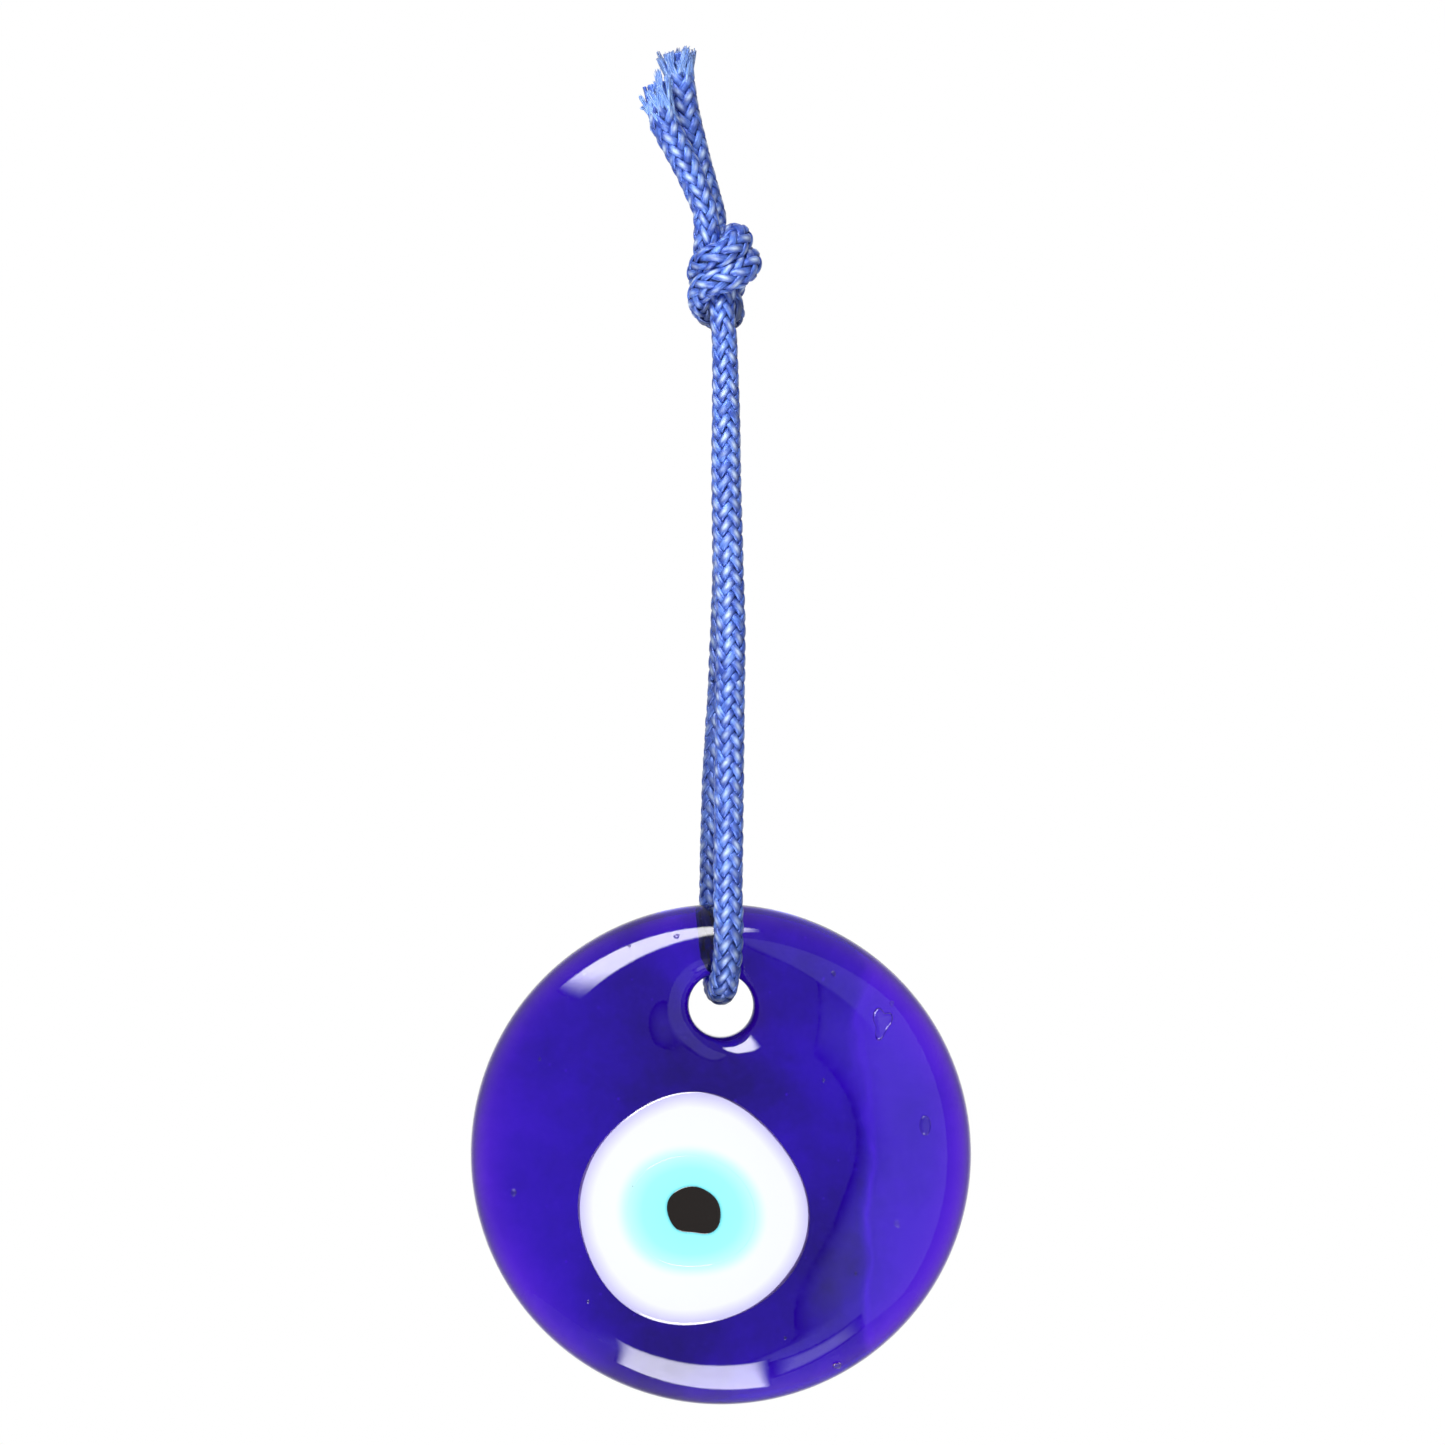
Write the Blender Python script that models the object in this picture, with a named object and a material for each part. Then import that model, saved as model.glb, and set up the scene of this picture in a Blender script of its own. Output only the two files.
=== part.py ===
"""Evil eye ornament: a round cobalt glass disc with a fused glass eye, on a knotted loop of braided cord.

Metres, +Z up. The front of the disc faces -Y and the disc stands in the XZ plane. The origin is the hang
point: the place just under the knot, between the two strands, where a hook or a nail holds the loop.
"""

import math

import bmesh
import bpy

# The glass disc: a flat face at the back, a flat face at the front, and a rim rounded between them.
DISC_DIAMETER = 0.0500
DISC_THICKNESS = 0.0066
RIM_FRONT_WIDTH = 0.0052
RIM_BACK_WIDTH = 0.0024
RIM_BACK_DEPTH = 0.0022

# The hole near the top of the disc, with a rounded lip on both faces.
HOLE_DIAMETER = 0.0064
RIM_TO_HOLE = 0.0068
LIP_WIDTH = 0.0034
LIP_BREAK = 0.0003

# The eye: three flat drops of glass, each sunk into the one below.
WHITE_DIAMETER = 0.02294
IRIS_DIAMETER = 0.01192
PUPIL_DIAMETER = 0.00512
WHITE_DEPTH = 0.0015
IRIS_DEPTH = 0.0008
PUPIL_DEPTH = 0.0003
WHITE_STAND = 0.00020
IRIS_STAND = 0.00030
PUPIL_STAND = 0.00040
EYE_SIDEWAYS = -0.0028
EYE_LAND_ABOVE = 0.41
IRIS_OFFSET = (-0.00015, -0.00012)
PUPIL_OFFSET = (0.00013, 0.0)
DROP_BEVEL = 0.00012

# Each outline is a circle with a few small waves round it: (waves in a turn, height as a share, phase).
WHITE_WAVES = ((2, 0.007, -132.0), (3, 0.017, -59.0), (4, 0.014, -48.0), (5, 0.005, 87.0))
IRIS_WAVES = ((2, 0.070, -17.5), (3, 0.012, -63.0), (4, 0.008, -127.0))
PUPIL_WAVES = ((2, 0.089, -40.0), (3, 0.028, -105.0), (4, 0.024, -168.0), (5, 0.018, 96.0))

# The braided cord. It is one length, drawn as tubes that meet where the loop bends and turns.
CORD_DIAMETER = 0.0030
HANG_DROP = 0.0662
SPLIT_DROP = 0.0340

# Clearances.
TOUCH_GAP = 0.0003
SEAT_GAP = 0.00030
FACE_GAP = 0.00035

# The knot and the tails above it.
KNOT_HEIGHT = 0.0106
KNOT_WIDTH = 0.0070
KNOT_DEPTH = 0.0078
TAIL_FLARE = 1.12

DISC_SEGMENTS = 72
DROP_SEGMENTS = 48
KNOT_SEGMENTS = 24
RIM_STEPS = 6
LIP_STEPS = 6
CURVE_STEPS = 3

# What follows from the sizes above.
DISC_RADIUS = DISC_DIAMETER / 2
FRONT_Y = -DISC_THICKNESS / 2
BACK_Y = DISC_THICKNESS / 2
HOLE_RADIUS = HOLE_DIAMETER / 2
CORD_RADIUS = CORD_DIAMETER / 2
HOLE_Z = -HANG_DROP
DISC_Z = HOLE_Z + HOLE_RADIUS + RIM_TO_HOLE - DISC_RADIUS
SEAT_Z = HOLE_Z + HOLE_RADIUS - SEAT_GAP - CORD_RADIUS
EYE_LAND = DISC_DIAMETER - RIM_TO_HOLE - HOLE_DIAMETER - WHITE_DIAMETER
EYE_Z = HOLE_Z - HOLE_RADIUS - EYE_LAND * EYE_LAND_ABOVE - WHITE_DIAMETER / 2
STRAND_Y_TOP = CORD_RADIUS + TOUCH_GAP / 2
STRAND_Y_DISC = DISC_THICKNESS / 2 + FACE_GAP + CORD_RADIUS
KNOT_BASE = CORD_RADIUS + TOUCH_GAP
KNOT_TOP = KNOT_BASE + KNOT_HEIGHT
TAIL_BASE = KNOT_TOP + TOUCH_GAP


def clear_scene():
    """Remove every object that the scene starts with."""
    for obj in list(bpy.data.objects):
        bpy.data.objects.remove(obj, do_unlink=True)


def between(first, last, share):
    """Give the value that lies a share of the way from first to last."""
    return first + (last - first) * share


def make_material(name, colour, roughness, transmission=0.0):
    """Make a Principled material in a linear colour."""
    material = bpy.data.materials.new(name)
    material.use_nodes = True
    shader = material.node_tree.nodes["Principled BSDF"]
    shader.inputs["Base Color"].default_value = (*colour, 1.0)
    shader.inputs["Roughness"].default_value = roughness
    shader.inputs["Metallic"].default_value = 0.0
    shader.inputs["Transmission Weight"].default_value = transmission
    return material


def add_object(name, data, material=None):
    """Link an object for this mesh or curve and give it its material."""
    obj = bpy.data.objects.new(name, data)
    bpy.context.scene.collection.objects.link(obj)
    if material is not None:
        data.materials.append(material)
    return obj


def mesh_from_rings(name, rings):
    """Make a closed mesh from rings of points, each ring of the same count, with a flat cap at both ends."""
    mesh = bpy.data.meshes.new(name)
    shape = bmesh.new()
    loops = [[shape.verts.new(point) for point in ring] for ring in rings]
    for lower, upper in zip(loops, loops[1:]):
        for index in range(len(lower)):
            after = (index + 1) % len(lower)
            shape.faces.new((lower[index], lower[after], upper[after], upper[index]))
    shape.faces.new(loops[0])
    shape.faces.new(loops[-1])
    bmesh.ops.recalc_face_normals(shape, faces=shape.faces)
    shape.to_mesh(mesh)
    shape.free()
    return mesh


def shade_round(mesh, sharp_degrees):
    """Shade the mesh smooth, with an edge where it turns by more than this angle."""
    mesh.shade_smooth()
    mesh.set_sharp_from_angle(angle=math.radians(sharp_degrees))


def wave_radius(diameter, waves, angle):
    """Give a drop's radius at this angle: its mean radius, raised and lowered by its waves."""
    swell = sum(height * math.cos(count * angle - math.radians(phase)) for count, height, phase in waves)
    return diameter / 2 * (1.0 + swell)


def drop_ring(centre, diameter, waves, grow, y):
    """Give one ring of points round a drop's outline, moved outwards by grow, in the plane at y."""
    ring = []
    for index in range(DROP_SEGMENTS):
        angle = 2 * math.pi * index / DROP_SEGMENTS
        radius = wave_radius(diameter, waves, angle) + grow
        ring.append((centre[0] + radius * math.cos(angle), y, centre[1] + radius * math.sin(angle)))
    return ring


def circle_ring(centre_z, radius, y, segments):
    """Give one ring of points round a circle on the Y direction, in the plane at y."""
    angles = [2 * math.pi * index / segments for index in range(segments)]
    return [(radius * math.cos(angle), y, centre_z + radius * math.sin(angle)) for angle in angles]


def cut(obj, cutter):
    """Take the cutter's shape out of the object with an exact Boolean, and hide the cutter."""
    cutter.hide_render = True
    cutter.display_type = "WIRE"
    modifier = obj.modifiers.new(cutter.name, "BOOLEAN")
    modifier.operation = "DIFFERENCE"
    modifier.solver = "EXACT"
    modifier.object = cutter


def drop_cutter(name, centre, diameter, waves, depth):
    """Make the pocket that a drop lies in: its outline and its depth, each with a gap, open to the front."""
    mouth = FRONT_Y - DISC_THICKNESS
    floor = FRONT_Y + depth + TOUCH_GAP
    rings = [drop_ring(centre, diameter, waves, TOUCH_GAP, y) for y in (floor, mouth)]
    return add_object(name, mesh_from_rings(name, rings))


def make_drop(name, centre, diameter, waves, depth, stand, material):
    """Make one flat drop of glass: depth deep behind the disc's face, standing a little proud of it."""
    front = FRONT_Y - stand
    rings = [
        drop_ring(centre, diameter, waves, 0.0, FRONT_Y + depth),
        drop_ring(centre, diameter, waves, 0.0, front + DROP_BEVEL),
        drop_ring(centre, diameter, waves, -DROP_BEVEL, front),
    ]
    mesh = mesh_from_rings(name, rings)
    shade_round(mesh, 35)
    return add_object(name, mesh, material)


def disc_profile():
    """Give the disc's edge from the back face to the front face, as (radius, y): two quarter ellipses."""
    turn = math.pi / 2
    front_depth = DISC_THICKNESS - RIM_BACK_DEPTH
    points = []
    for step in range(RIM_STEPS + 1):
        angle = turn * step / RIM_STEPS
        radius = DISC_RADIUS - RIM_BACK_WIDTH * (1 - math.sin(angle))
        points.append((radius, BACK_Y - RIM_BACK_DEPTH * (1 - math.cos(angle))))
    for step in range(1, RIM_STEPS + 1):
        angle = turn * step / RIM_STEPS
        radius = DISC_RADIUS - RIM_FRONT_WIDTH * (1 - math.cos(angle))
        points.append((radius, FRONT_Y + front_depth * (1 - math.sin(angle))))
    return points


def hole_cutter():
    """Make the cutter for the hole: narrowest at mid thickness, flaring as a half ellipse to both faces."""
    lip_turn = math.acos(LIP_BREAK / LIP_WIDTH)
    half = []
    for step in range(LIP_STEPS + 1):
        angle = lip_turn * step / LIP_STEPS
        radius = HOLE_RADIUS + LIP_WIDTH * (1 - math.cos(angle))
        half.append((radius, BACK_Y * math.sin(angle)))
    last_radius, last_y = half[-1]
    half.append((last_radius + LIP_WIDTH, last_y + LIP_WIDTH))
    profile = [(radius, -y) for radius, y in reversed(half[1:])] + half
    rings = [circle_ring(HOLE_Z, radius, y, DROP_SEGMENTS) for radius, y in profile]
    return add_object("hole_cutter", mesh_from_rings("hole_cutter", rings))


def make_disc(material):
    """Make the glass disc with its hole and the pocket for the white drop."""
    rings = [circle_ring(DISC_Z, radius, y, DISC_SEGMENTS) for radius, y in disc_profile()]
    mesh = mesh_from_rings("glass_disc", rings)
    shade_round(mesh, 30)
    disc = add_object("glass_disc", mesh, material)
    cut(disc, hole_cutter())
    cut(disc, drop_cutter("white_pocket", eye_centre((0.0, 0.0)), WHITE_DIAMETER, WHITE_WAVES, WHITE_DEPTH))
    return disc


def eye_centre(offset):
    """Give a drop's centre as (x, z), for its offset from the middle of the white drop."""
    return (EYE_SIDEWAYS + offset[0], EYE_Z + offset[1])


def make_eye(white_glass, blue_glass, black_glass):
    """Make the white, pale blue and black drops, each in a pocket of the one below."""
    iris_centre = eye_centre(IRIS_OFFSET)
    pupil_centre = eye_centre(PUPIL_OFFSET)
    white = make_drop("white_drop", eye_centre((0.0, 0.0)), WHITE_DIAMETER, WHITE_WAVES,
                      WHITE_DEPTH, WHITE_STAND, white_glass)
    cut(white, drop_cutter("iris_pocket", iris_centre, IRIS_DIAMETER, IRIS_WAVES, IRIS_DEPTH))
    iris = make_drop("iris_drop", iris_centre, IRIS_DIAMETER, IRIS_WAVES,
                     IRIS_DEPTH, IRIS_STAND, blue_glass)
    cut(iris, drop_cutter("pupil_pocket", pupil_centre, PUPIL_DIAMETER, PUPIL_WAVES, PUPIL_DEPTH))
    make_drop("pupil_drop", pupil_centre, PUPIL_DIAMETER, PUPIL_WAVES,
              PUPIL_DEPTH, PUPIL_STAND, black_glass)


def smooth_line(route, steps):
    """Read points from a Catmull-Rom curve through the route's own points, steps to a span."""
    first = tuple(2 * a - b for a, b in zip(route[0], route[1]))
    last = tuple(2 * a - b for a, b in zip(route[-1], route[-2]))
    padded = [first, *route, last]
    line = []
    for before, start, end, after in zip(padded, padded[1:], padded[2:], padded[3:]):
        for step in range(steps):
            t = step / steps
            line.append(tuple(
                0.5 * (2 * b + (c - a) * t + (2 * a - 5 * b + 4 * c - d) * t ** 2
                       + (3 * b - a - 3 * c + d) * t ** 3)
                for a, b, c, d in zip(before, start, end, after)
            ))
    line.append(route[-1])
    return line


def cord_tube(name, line, material, swells=None):
    """Make a round tube along a line of points; swells gives each point's radius as a share of the cord's."""
    curve = bpy.data.curves.new(name, "CURVE")
    curve.dimensions = "3D"
    curve.bevel_depth = CORD_RADIUS
    curve.bevel_resolution = 2
    curve.use_fill_caps = True
    spline = curve.splines.new("POLY")
    spline.points.add(len(line) - 1)
    for index, place in enumerate(line):
        spline.points[index].co = (*place, 1.0)
        spline.points[index].radius = swells[index] if swells else 1.0
    spline.use_smooth = True
    return add_object(name, curve, material)


def upper_route(side, bows):
    """Give one upper strand's points, from the hang point to the split; side is -1 in front, 1 behind."""
    drops = (0.0, 0.0045, 0.0090, 0.0140, 0.0215, 0.0280, SPLIT_DROP - TOUCH_GAP / 2)
    spread_drop = -SEAT_Z - STRAND_Y_DISC
    return [
        (bow, side * between(STRAND_Y_TOP, STRAND_Y_DISC, drop / spread_drop), -drop)
        for bow, drop in zip(bows, drops)
    ]


def make_upper_strands(material):
    """Make the two strands from the hang point to the split, each with a round top end on the swing axis."""
    bows = {
        "cord_upper_front": (-1, (0.0, 0.00036, 0.00050, 0.00055, 0.00076, 0.00096, 0.00095)),
        "cord_upper_back": (1, (0.0, 0.00031, 0.00042, 0.00048, 0.00060, 0.00042, 0.00016)),
    }
    cap_angles = [math.radians(degrees) for degrees in (78, 60, 38, 16)]
    for name, (side, bow) in bows.items():
        line = smooth_line(upper_route(side, bow), CURVE_STEPS)
        top = line[0]
        cap = [(top[0], top[1], top[2] + CORD_RADIUS * math.sin(angle)) for angle in cap_angles]
        swells = [math.cos(angle) for angle in cap_angles] + [1.0] * len(line)
        cord_tube(name, cap + line, material, swells)


def lower_route():
    """Give the points of the loop's lower part: down in front, back through the hole and up behind."""
    split = -SPLIT_DROP - TOUCH_GAP / 2
    spread_drop = -SEAT_Z - STRAND_Y_DISC
    bend_top = SEAT_Z + STRAND_Y_DISC
    diagonal = math.sin(math.radians(45))
    bend = STRAND_Y_DISC * diagonal
    split_y = between(STRAND_Y_TOP, STRAND_Y_DISC, SPLIT_DROP / spread_drop)
    middle_y = between(split_y, STRAND_Y_DISC, 0.5)
    middle = between(split, bend_top, 0.40)
    shoulder = between(split, bend_top, 0.78)
    return [
        (0.00095, -split_y, split),
        (0.00082, -middle_y, middle),
        (0.00072, -STRAND_Y_DISC, shoulder),
        (0.00074, -STRAND_Y_DISC, bend_top),
        (0.00040, -bend, bend_top - bend),
        (-0.00005, 0.0, SEAT_Z),
        (-0.00045, bend, bend_top - bend),
        (-0.00074, STRAND_Y_DISC, bend_top),
        (-0.00070, STRAND_Y_DISC, shoulder),
        (-0.00045, middle_y, middle),
        (0.00014, split_y, split),
    ]


def make_lower_loop(material):
    """Make the lower part of the loop, which the disc hangs on."""
    cord_tube("cord_loop_lower", smooth_line(lower_route(), CURVE_STEPS), material)


def make_knot(material):
    """Make the knot's outer shape as a stack of ellipses: (height, middle, width), each as a share."""
    rows = (
        (0.00, -0.06, 0.46), (0.10, -0.13, 0.72), (0.26, -0.13, 0.78), (0.38, 0.00, 0.87),
        (0.50, 0.08, 0.99), (0.68, 0.09, 0.97), (0.82, 0.12, 0.76), (0.94, 0.05, 0.60), (1.00, 0.00, 0.46),
    )
    rings = []
    for height, middle, width in rows:
        z = KNOT_BASE + KNOT_HEIGHT * height
        half_x = KNOT_WIDTH / 2 * width
        half_y = KNOT_DEPTH / 2 * width
        centre_x = KNOT_WIDTH / 2 * middle
        ring = []
        for index in range(KNOT_SEGMENTS):
            angle = 2 * math.pi * index / KNOT_SEGMENTS
            ring.append((centre_x + half_x * math.cos(angle), half_y * math.sin(angle), z))
        rings.append(ring)
    mesh = mesh_from_rings("cord_knot", rings)
    shade_round(mesh, 50)
    add_object("cord_knot", mesh, material)


def make_tails(material):
    """Make the two cut ends that stand above the knot, each fanning out a little at its tip."""
    tails = {
        "cord_tail_front": (-1, ((-0.0014, 0.0), (-0.00155, 0.0012), (-0.0030, 0.0036), (-0.0044, 0.0062),
                                 (-0.0055, 0.0085), (-0.0062, 0.0107), (-0.0067, 0.0128))),
        "cord_tail_back": (1, ((-0.0004, 0.0), (-0.0005, 0.0012), (-0.0015, 0.0042), (-0.0026, 0.0073),
                               (-0.0036, 0.0103), (-0.0043, 0.0133), (-0.0047, 0.0164))),
    }
    for name, (side, points) in tails.items():
        route = [(x, side * STRAND_Y_TOP, TAIL_BASE + rise) for x, rise in points]
        line = smooth_line(route, 2)
        swells = [between(1.0, TAIL_FLARE, max(0.0, 2 * index / (len(line) - 1) - 1))
                  for index in range(len(line))]
        cord_tube(name, line, material, swells)


def build():
    """Build the whole ornament."""
    clear_scene()
    cobalt = make_material("cobalt_glass", (0.030, 0.011, 0.36), 0.05, transmission=0.6)
    white_glass = make_material("white_glass", (0.92, 0.95, 0.97), 0.12)
    pale_blue_glass = make_material("pale_blue_glass", (0.38, 0.93, 0.97), 0.12)
    black_glass = make_material("black_glass", (0.015, 0.012, 0.014), 0.10)
    cord_blue = make_material("blue_braided_cord", (0.075, 0.160, 0.60), 0.55)
    make_disc(cobalt)
    make_eye(white_glass, pale_blue_glass, black_glass)
    make_upper_strands(cord_blue)
    make_lower_loop(cord_blue)
    make_knot(cord_blue)
    make_tails(cord_blue)


build()
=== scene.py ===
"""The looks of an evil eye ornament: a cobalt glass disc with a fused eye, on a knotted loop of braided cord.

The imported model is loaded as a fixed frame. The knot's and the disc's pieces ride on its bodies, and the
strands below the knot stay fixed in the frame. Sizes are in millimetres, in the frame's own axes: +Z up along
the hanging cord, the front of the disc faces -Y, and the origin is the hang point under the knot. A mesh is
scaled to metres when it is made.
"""
from __future__ import annotations

import logging
import math
from dataclasses import dataclass
from enum import Enum

import bpy
import numpy as np
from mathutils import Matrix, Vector


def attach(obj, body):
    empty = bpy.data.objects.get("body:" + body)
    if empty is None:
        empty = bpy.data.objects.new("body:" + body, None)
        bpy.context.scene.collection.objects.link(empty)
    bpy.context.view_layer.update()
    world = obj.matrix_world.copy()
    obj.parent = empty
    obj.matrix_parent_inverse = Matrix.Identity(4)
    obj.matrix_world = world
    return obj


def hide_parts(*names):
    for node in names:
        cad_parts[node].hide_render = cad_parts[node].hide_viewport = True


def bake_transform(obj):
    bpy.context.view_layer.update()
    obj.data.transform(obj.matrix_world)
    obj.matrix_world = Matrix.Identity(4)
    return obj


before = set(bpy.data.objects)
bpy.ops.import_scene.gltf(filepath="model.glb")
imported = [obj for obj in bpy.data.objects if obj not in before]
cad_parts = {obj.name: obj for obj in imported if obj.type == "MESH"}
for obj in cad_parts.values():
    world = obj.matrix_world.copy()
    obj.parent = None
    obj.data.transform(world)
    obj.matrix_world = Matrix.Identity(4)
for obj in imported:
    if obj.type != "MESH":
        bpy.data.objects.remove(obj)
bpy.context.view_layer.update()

LOG = logging.getLogger("ornament")
MM = 0.001
TAU = 2.0 * math.pi
CURVE_STEPS = 40
WAVE_GAIN = 1.4
MM_PER_M = 1000.0
# A flattened round section's girth is about this many times its width and height together.
GIRTH_SHARE = 1.6
# How far apart the patterns of one yarn or filament and the next lie, in mm.
YARN_MARK_MM = 7.3
FILAMENT_MARK_MM = 1.37
# A loose filament's pattern runs this many mm for each radian round it.
FILAMENT_ROUND_MM = 0.1


class Body(Enum):
    """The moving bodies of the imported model."""

    KNOT = "knot"
    UPPER = "upper_cord"
    LOWER = "lower_cord"
    DISC = "disc"


class Slot(Enum):
    """The record's material slots."""

    COBALT = "cobalt_glass"
    WHITE = "white_glass"
    PALE_BLUE = "pale_blue_glass"
    BLACK = "black_glass"
    CORD = "blue_braided_cord"


# ---------------------------------------------------------------- colours, nodes and meshes


def linear(code: str) -> tuple[float, float, float, float]:
    """Turn an sRGB hex colour to linear.

    Args:
        code: six hex digits, with or without a leading #.

    Returns:
        Red, green, blue and an alpha of 1.
    """
    digits = code.lstrip("#")
    channels = [int(digits[at:at + 2], 16) / 255.0 for at in (0, 2, 4)]
    curve = [c / 12.92 if c <= 0.04045 else ((c + 0.055) / 1.055) ** 2.4 for c in channels]
    return (curve[0], curve[1], curve[2], 1.0)


def add_node(tree: bpy.types.NodeTree, kind: str, settings: dict | None = None,
             links: dict | None = None) -> bpy.types.Node:
    """Add one node with its settings and links.

    Args:
        tree: the node tree.
        kind: the node's type name.
        settings: values by property name, or by input socket name or number.
        links: output sockets by the name or number of the input socket that they go to.

    Returns:
        The new node.
    """
    made = tree.nodes.new(kind)
    for key, value in (settings or {}).items():
        if isinstance(key, str) and hasattr(made, key):
            setattr(made, key, value)
        else:
            made.inputs[key].default_value = value
    for key, source in (links or {}).items():
        tree.links.new(source, made.inputs[key])
    return made


def set_ramp(ramp: bpy.types.Node, stops: list[tuple[float, str]]) -> bpy.types.Node:
    """Give a Color Ramp node its stops.

    Args:
        ramp: the node.
        stops: each stop's place and sRGB hex colour.

    Returns:
        The same node.
    """
    elements = ramp.color_ramp.elements
    while len(elements) < len(stops):
        elements.new(1.0)
    for element, (place, code) in zip(elements, stops):
        element.position = place
        element.color = linear(code)
    return ramp


def blank_material(name: str) -> tuple[bpy.types.Material, bpy.types.NodeTree, bpy.types.Node]:
    """Make a material with nodes.

    Args:
        name: the material's name.

    Returns:
        The material, its node tree and its Principled shader.
    """
    material = bpy.data.materials.new(name)
    material.use_nodes = True
    tree = material.node_tree
    return material, tree, tree.nodes["Principled BSDF"]


def set_sockets(shader: bpy.types.Node, values: dict[str, object]) -> None:
    """Set constants on a shader's own sockets."""
    for name, value in values.items():
        shader.inputs[name].default_value = value


def signed_volume(points: np.ndarray, quads: np.ndarray) -> float:
    """Give the volume inside quads, below zero where they face inwards: a sixth of the sum of a . (b x c).

    Args:
        points: points in mm, shaped (points, 3).
        quads: their numbers round each face, shaped (faces, 4).

    Returns:
        The volume in cubic mm.
    """
    a, b, c, d = (points[quads[:, k]] for k in range(4))
    halves = [np.einsum("ij,ij->i", a, np.cross(*pair)) for pair in ((b, c), (c, d))]
    return float(sum(halves).sum() / 6)


def ring_mesh(name: str, rings: np.ndarray, material: bpy.types.Material, wrap: bool = False,
              attributes: dict[str, np.ndarray] | None = None) -> bpy.types.Object:
    """Make a piece from tubes of rings, every tube closed round its rings and closed at both ends.

    The points are rings[tube, row, column]. Each row is joined to the next one by quads that run round the
    column direction. The ends are closed by a fan to the middle of the first and last ring, or with wrap by
    joining the last ring to the first, as on a ring-shaped body.

    Args:
        name: the piece's name.
        rings: points in mm, shaped (tubes, rows, columns, 3).
        material: its finish.
        wrap: join the last row to the first.
        attributes: values per point by name, shaped (tubes, rows, columns) or (..., 3).

    Returns:
        The piece, with its faces pointing out.
    """
    tubes, rows, columns, _ = rings.shape
    index = np.arange(tubes * rows * columns).reshape(tubes, rows, columns)
    lower = index if wrap else index[:, :-1]
    upper = np.roll(index, -1, 1) if wrap else index[:, 1:]
    quads = np.stack([lower, np.roll(lower, -1, 2), np.roll(upper, -1, 2), upper], -1).reshape(tubes, -1, 4)
    points = rings.reshape(-1, 3)
    inside_out = signed_volume(points - points.mean(0), quads[0]) < 0
    if inside_out:
        quads = quads[..., ::-1]
    faces = quads.reshape(-1, 4).tolist()
    if not wrap:
        ends = np.concatenate([rings[:, 0].mean(1), rings[:, -1].mean(1)])
        first_hub = len(points)
        points = np.concatenate([points, ends])
        for row, hub, flip in ((0, first_hub, not inside_out), (rows - 1, first_hub + tubes, inside_out)):
            ring = index[:, row]
            hubs = np.broadcast_to(np.arange(hub, hub + tubes)[:, None], ring.shape)
            fan = np.stack([ring, np.roll(ring, -1, 1), hubs], -1).reshape(-1, 3)
            faces += (fan[:, ::-1] if flip else fan).tolist()
    mesh = bpy.data.meshes.new(name)
    mesh.from_pydata((points * MM).tolist(), [], faces)
    for key, values in (attributes or {}).items():
        vector = values.ndim == 4
        flat = values.reshape(-1, 3) if vector else values.reshape(-1)
        if not wrap:
            flat = np.concatenate([flat, values[:, 0].mean(1), values[:, -1].mean(1)])
        layer = mesh.attributes.new(key, "FLOAT_VECTOR" if vector else "FLOAT", "POINT")
        layer.data.foreach_set("vector" if vector else "value", flat.astype(np.float32).ravel())
    mesh.shade_smooth()
    mesh.materials.append(material)
    mesh.update()
    piece = bpy.data.objects.new(name, mesh)
    bpy.context.scene.collection.objects.link(piece)
    return piece


def smooth_step(values: np.ndarray, start: float, end: float) -> np.ndarray:
    """Rise from 0 at start to 1 at end along the curve 3t^2 - 2t^3."""
    t = np.clip((values - start) / (end - start), 0.0, 1.0)
    return t * t * (3.0 - 2.0 * t)


def ripple(along: np.ndarray, lengths: tuple[float, ...], rng: np.random.Generator, count: int) -> np.ndarray:
    """Give slow random waves along a line: the mean of sines of the given lengths, raised by a gain.

    Args:
        along: places along the line in mm, shaped (rows,).
        lengths: the sines' wave lengths in mm.
        rng: the seeded source of phases.
        count: how many different waves.

    Returns:
        Values of about -1 to 1, shaped (count, rows).
    """
    phases = rng.uniform(0.0, TAU, (count, len(lengths), 1))
    waves = np.sin(TAU * along[None, None, :] / np.array(lengths)[None, :, None] + phases)
    return waves.mean(1) * WAVE_GAIN


# ---------------------------------------------------------------- finishes


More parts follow.
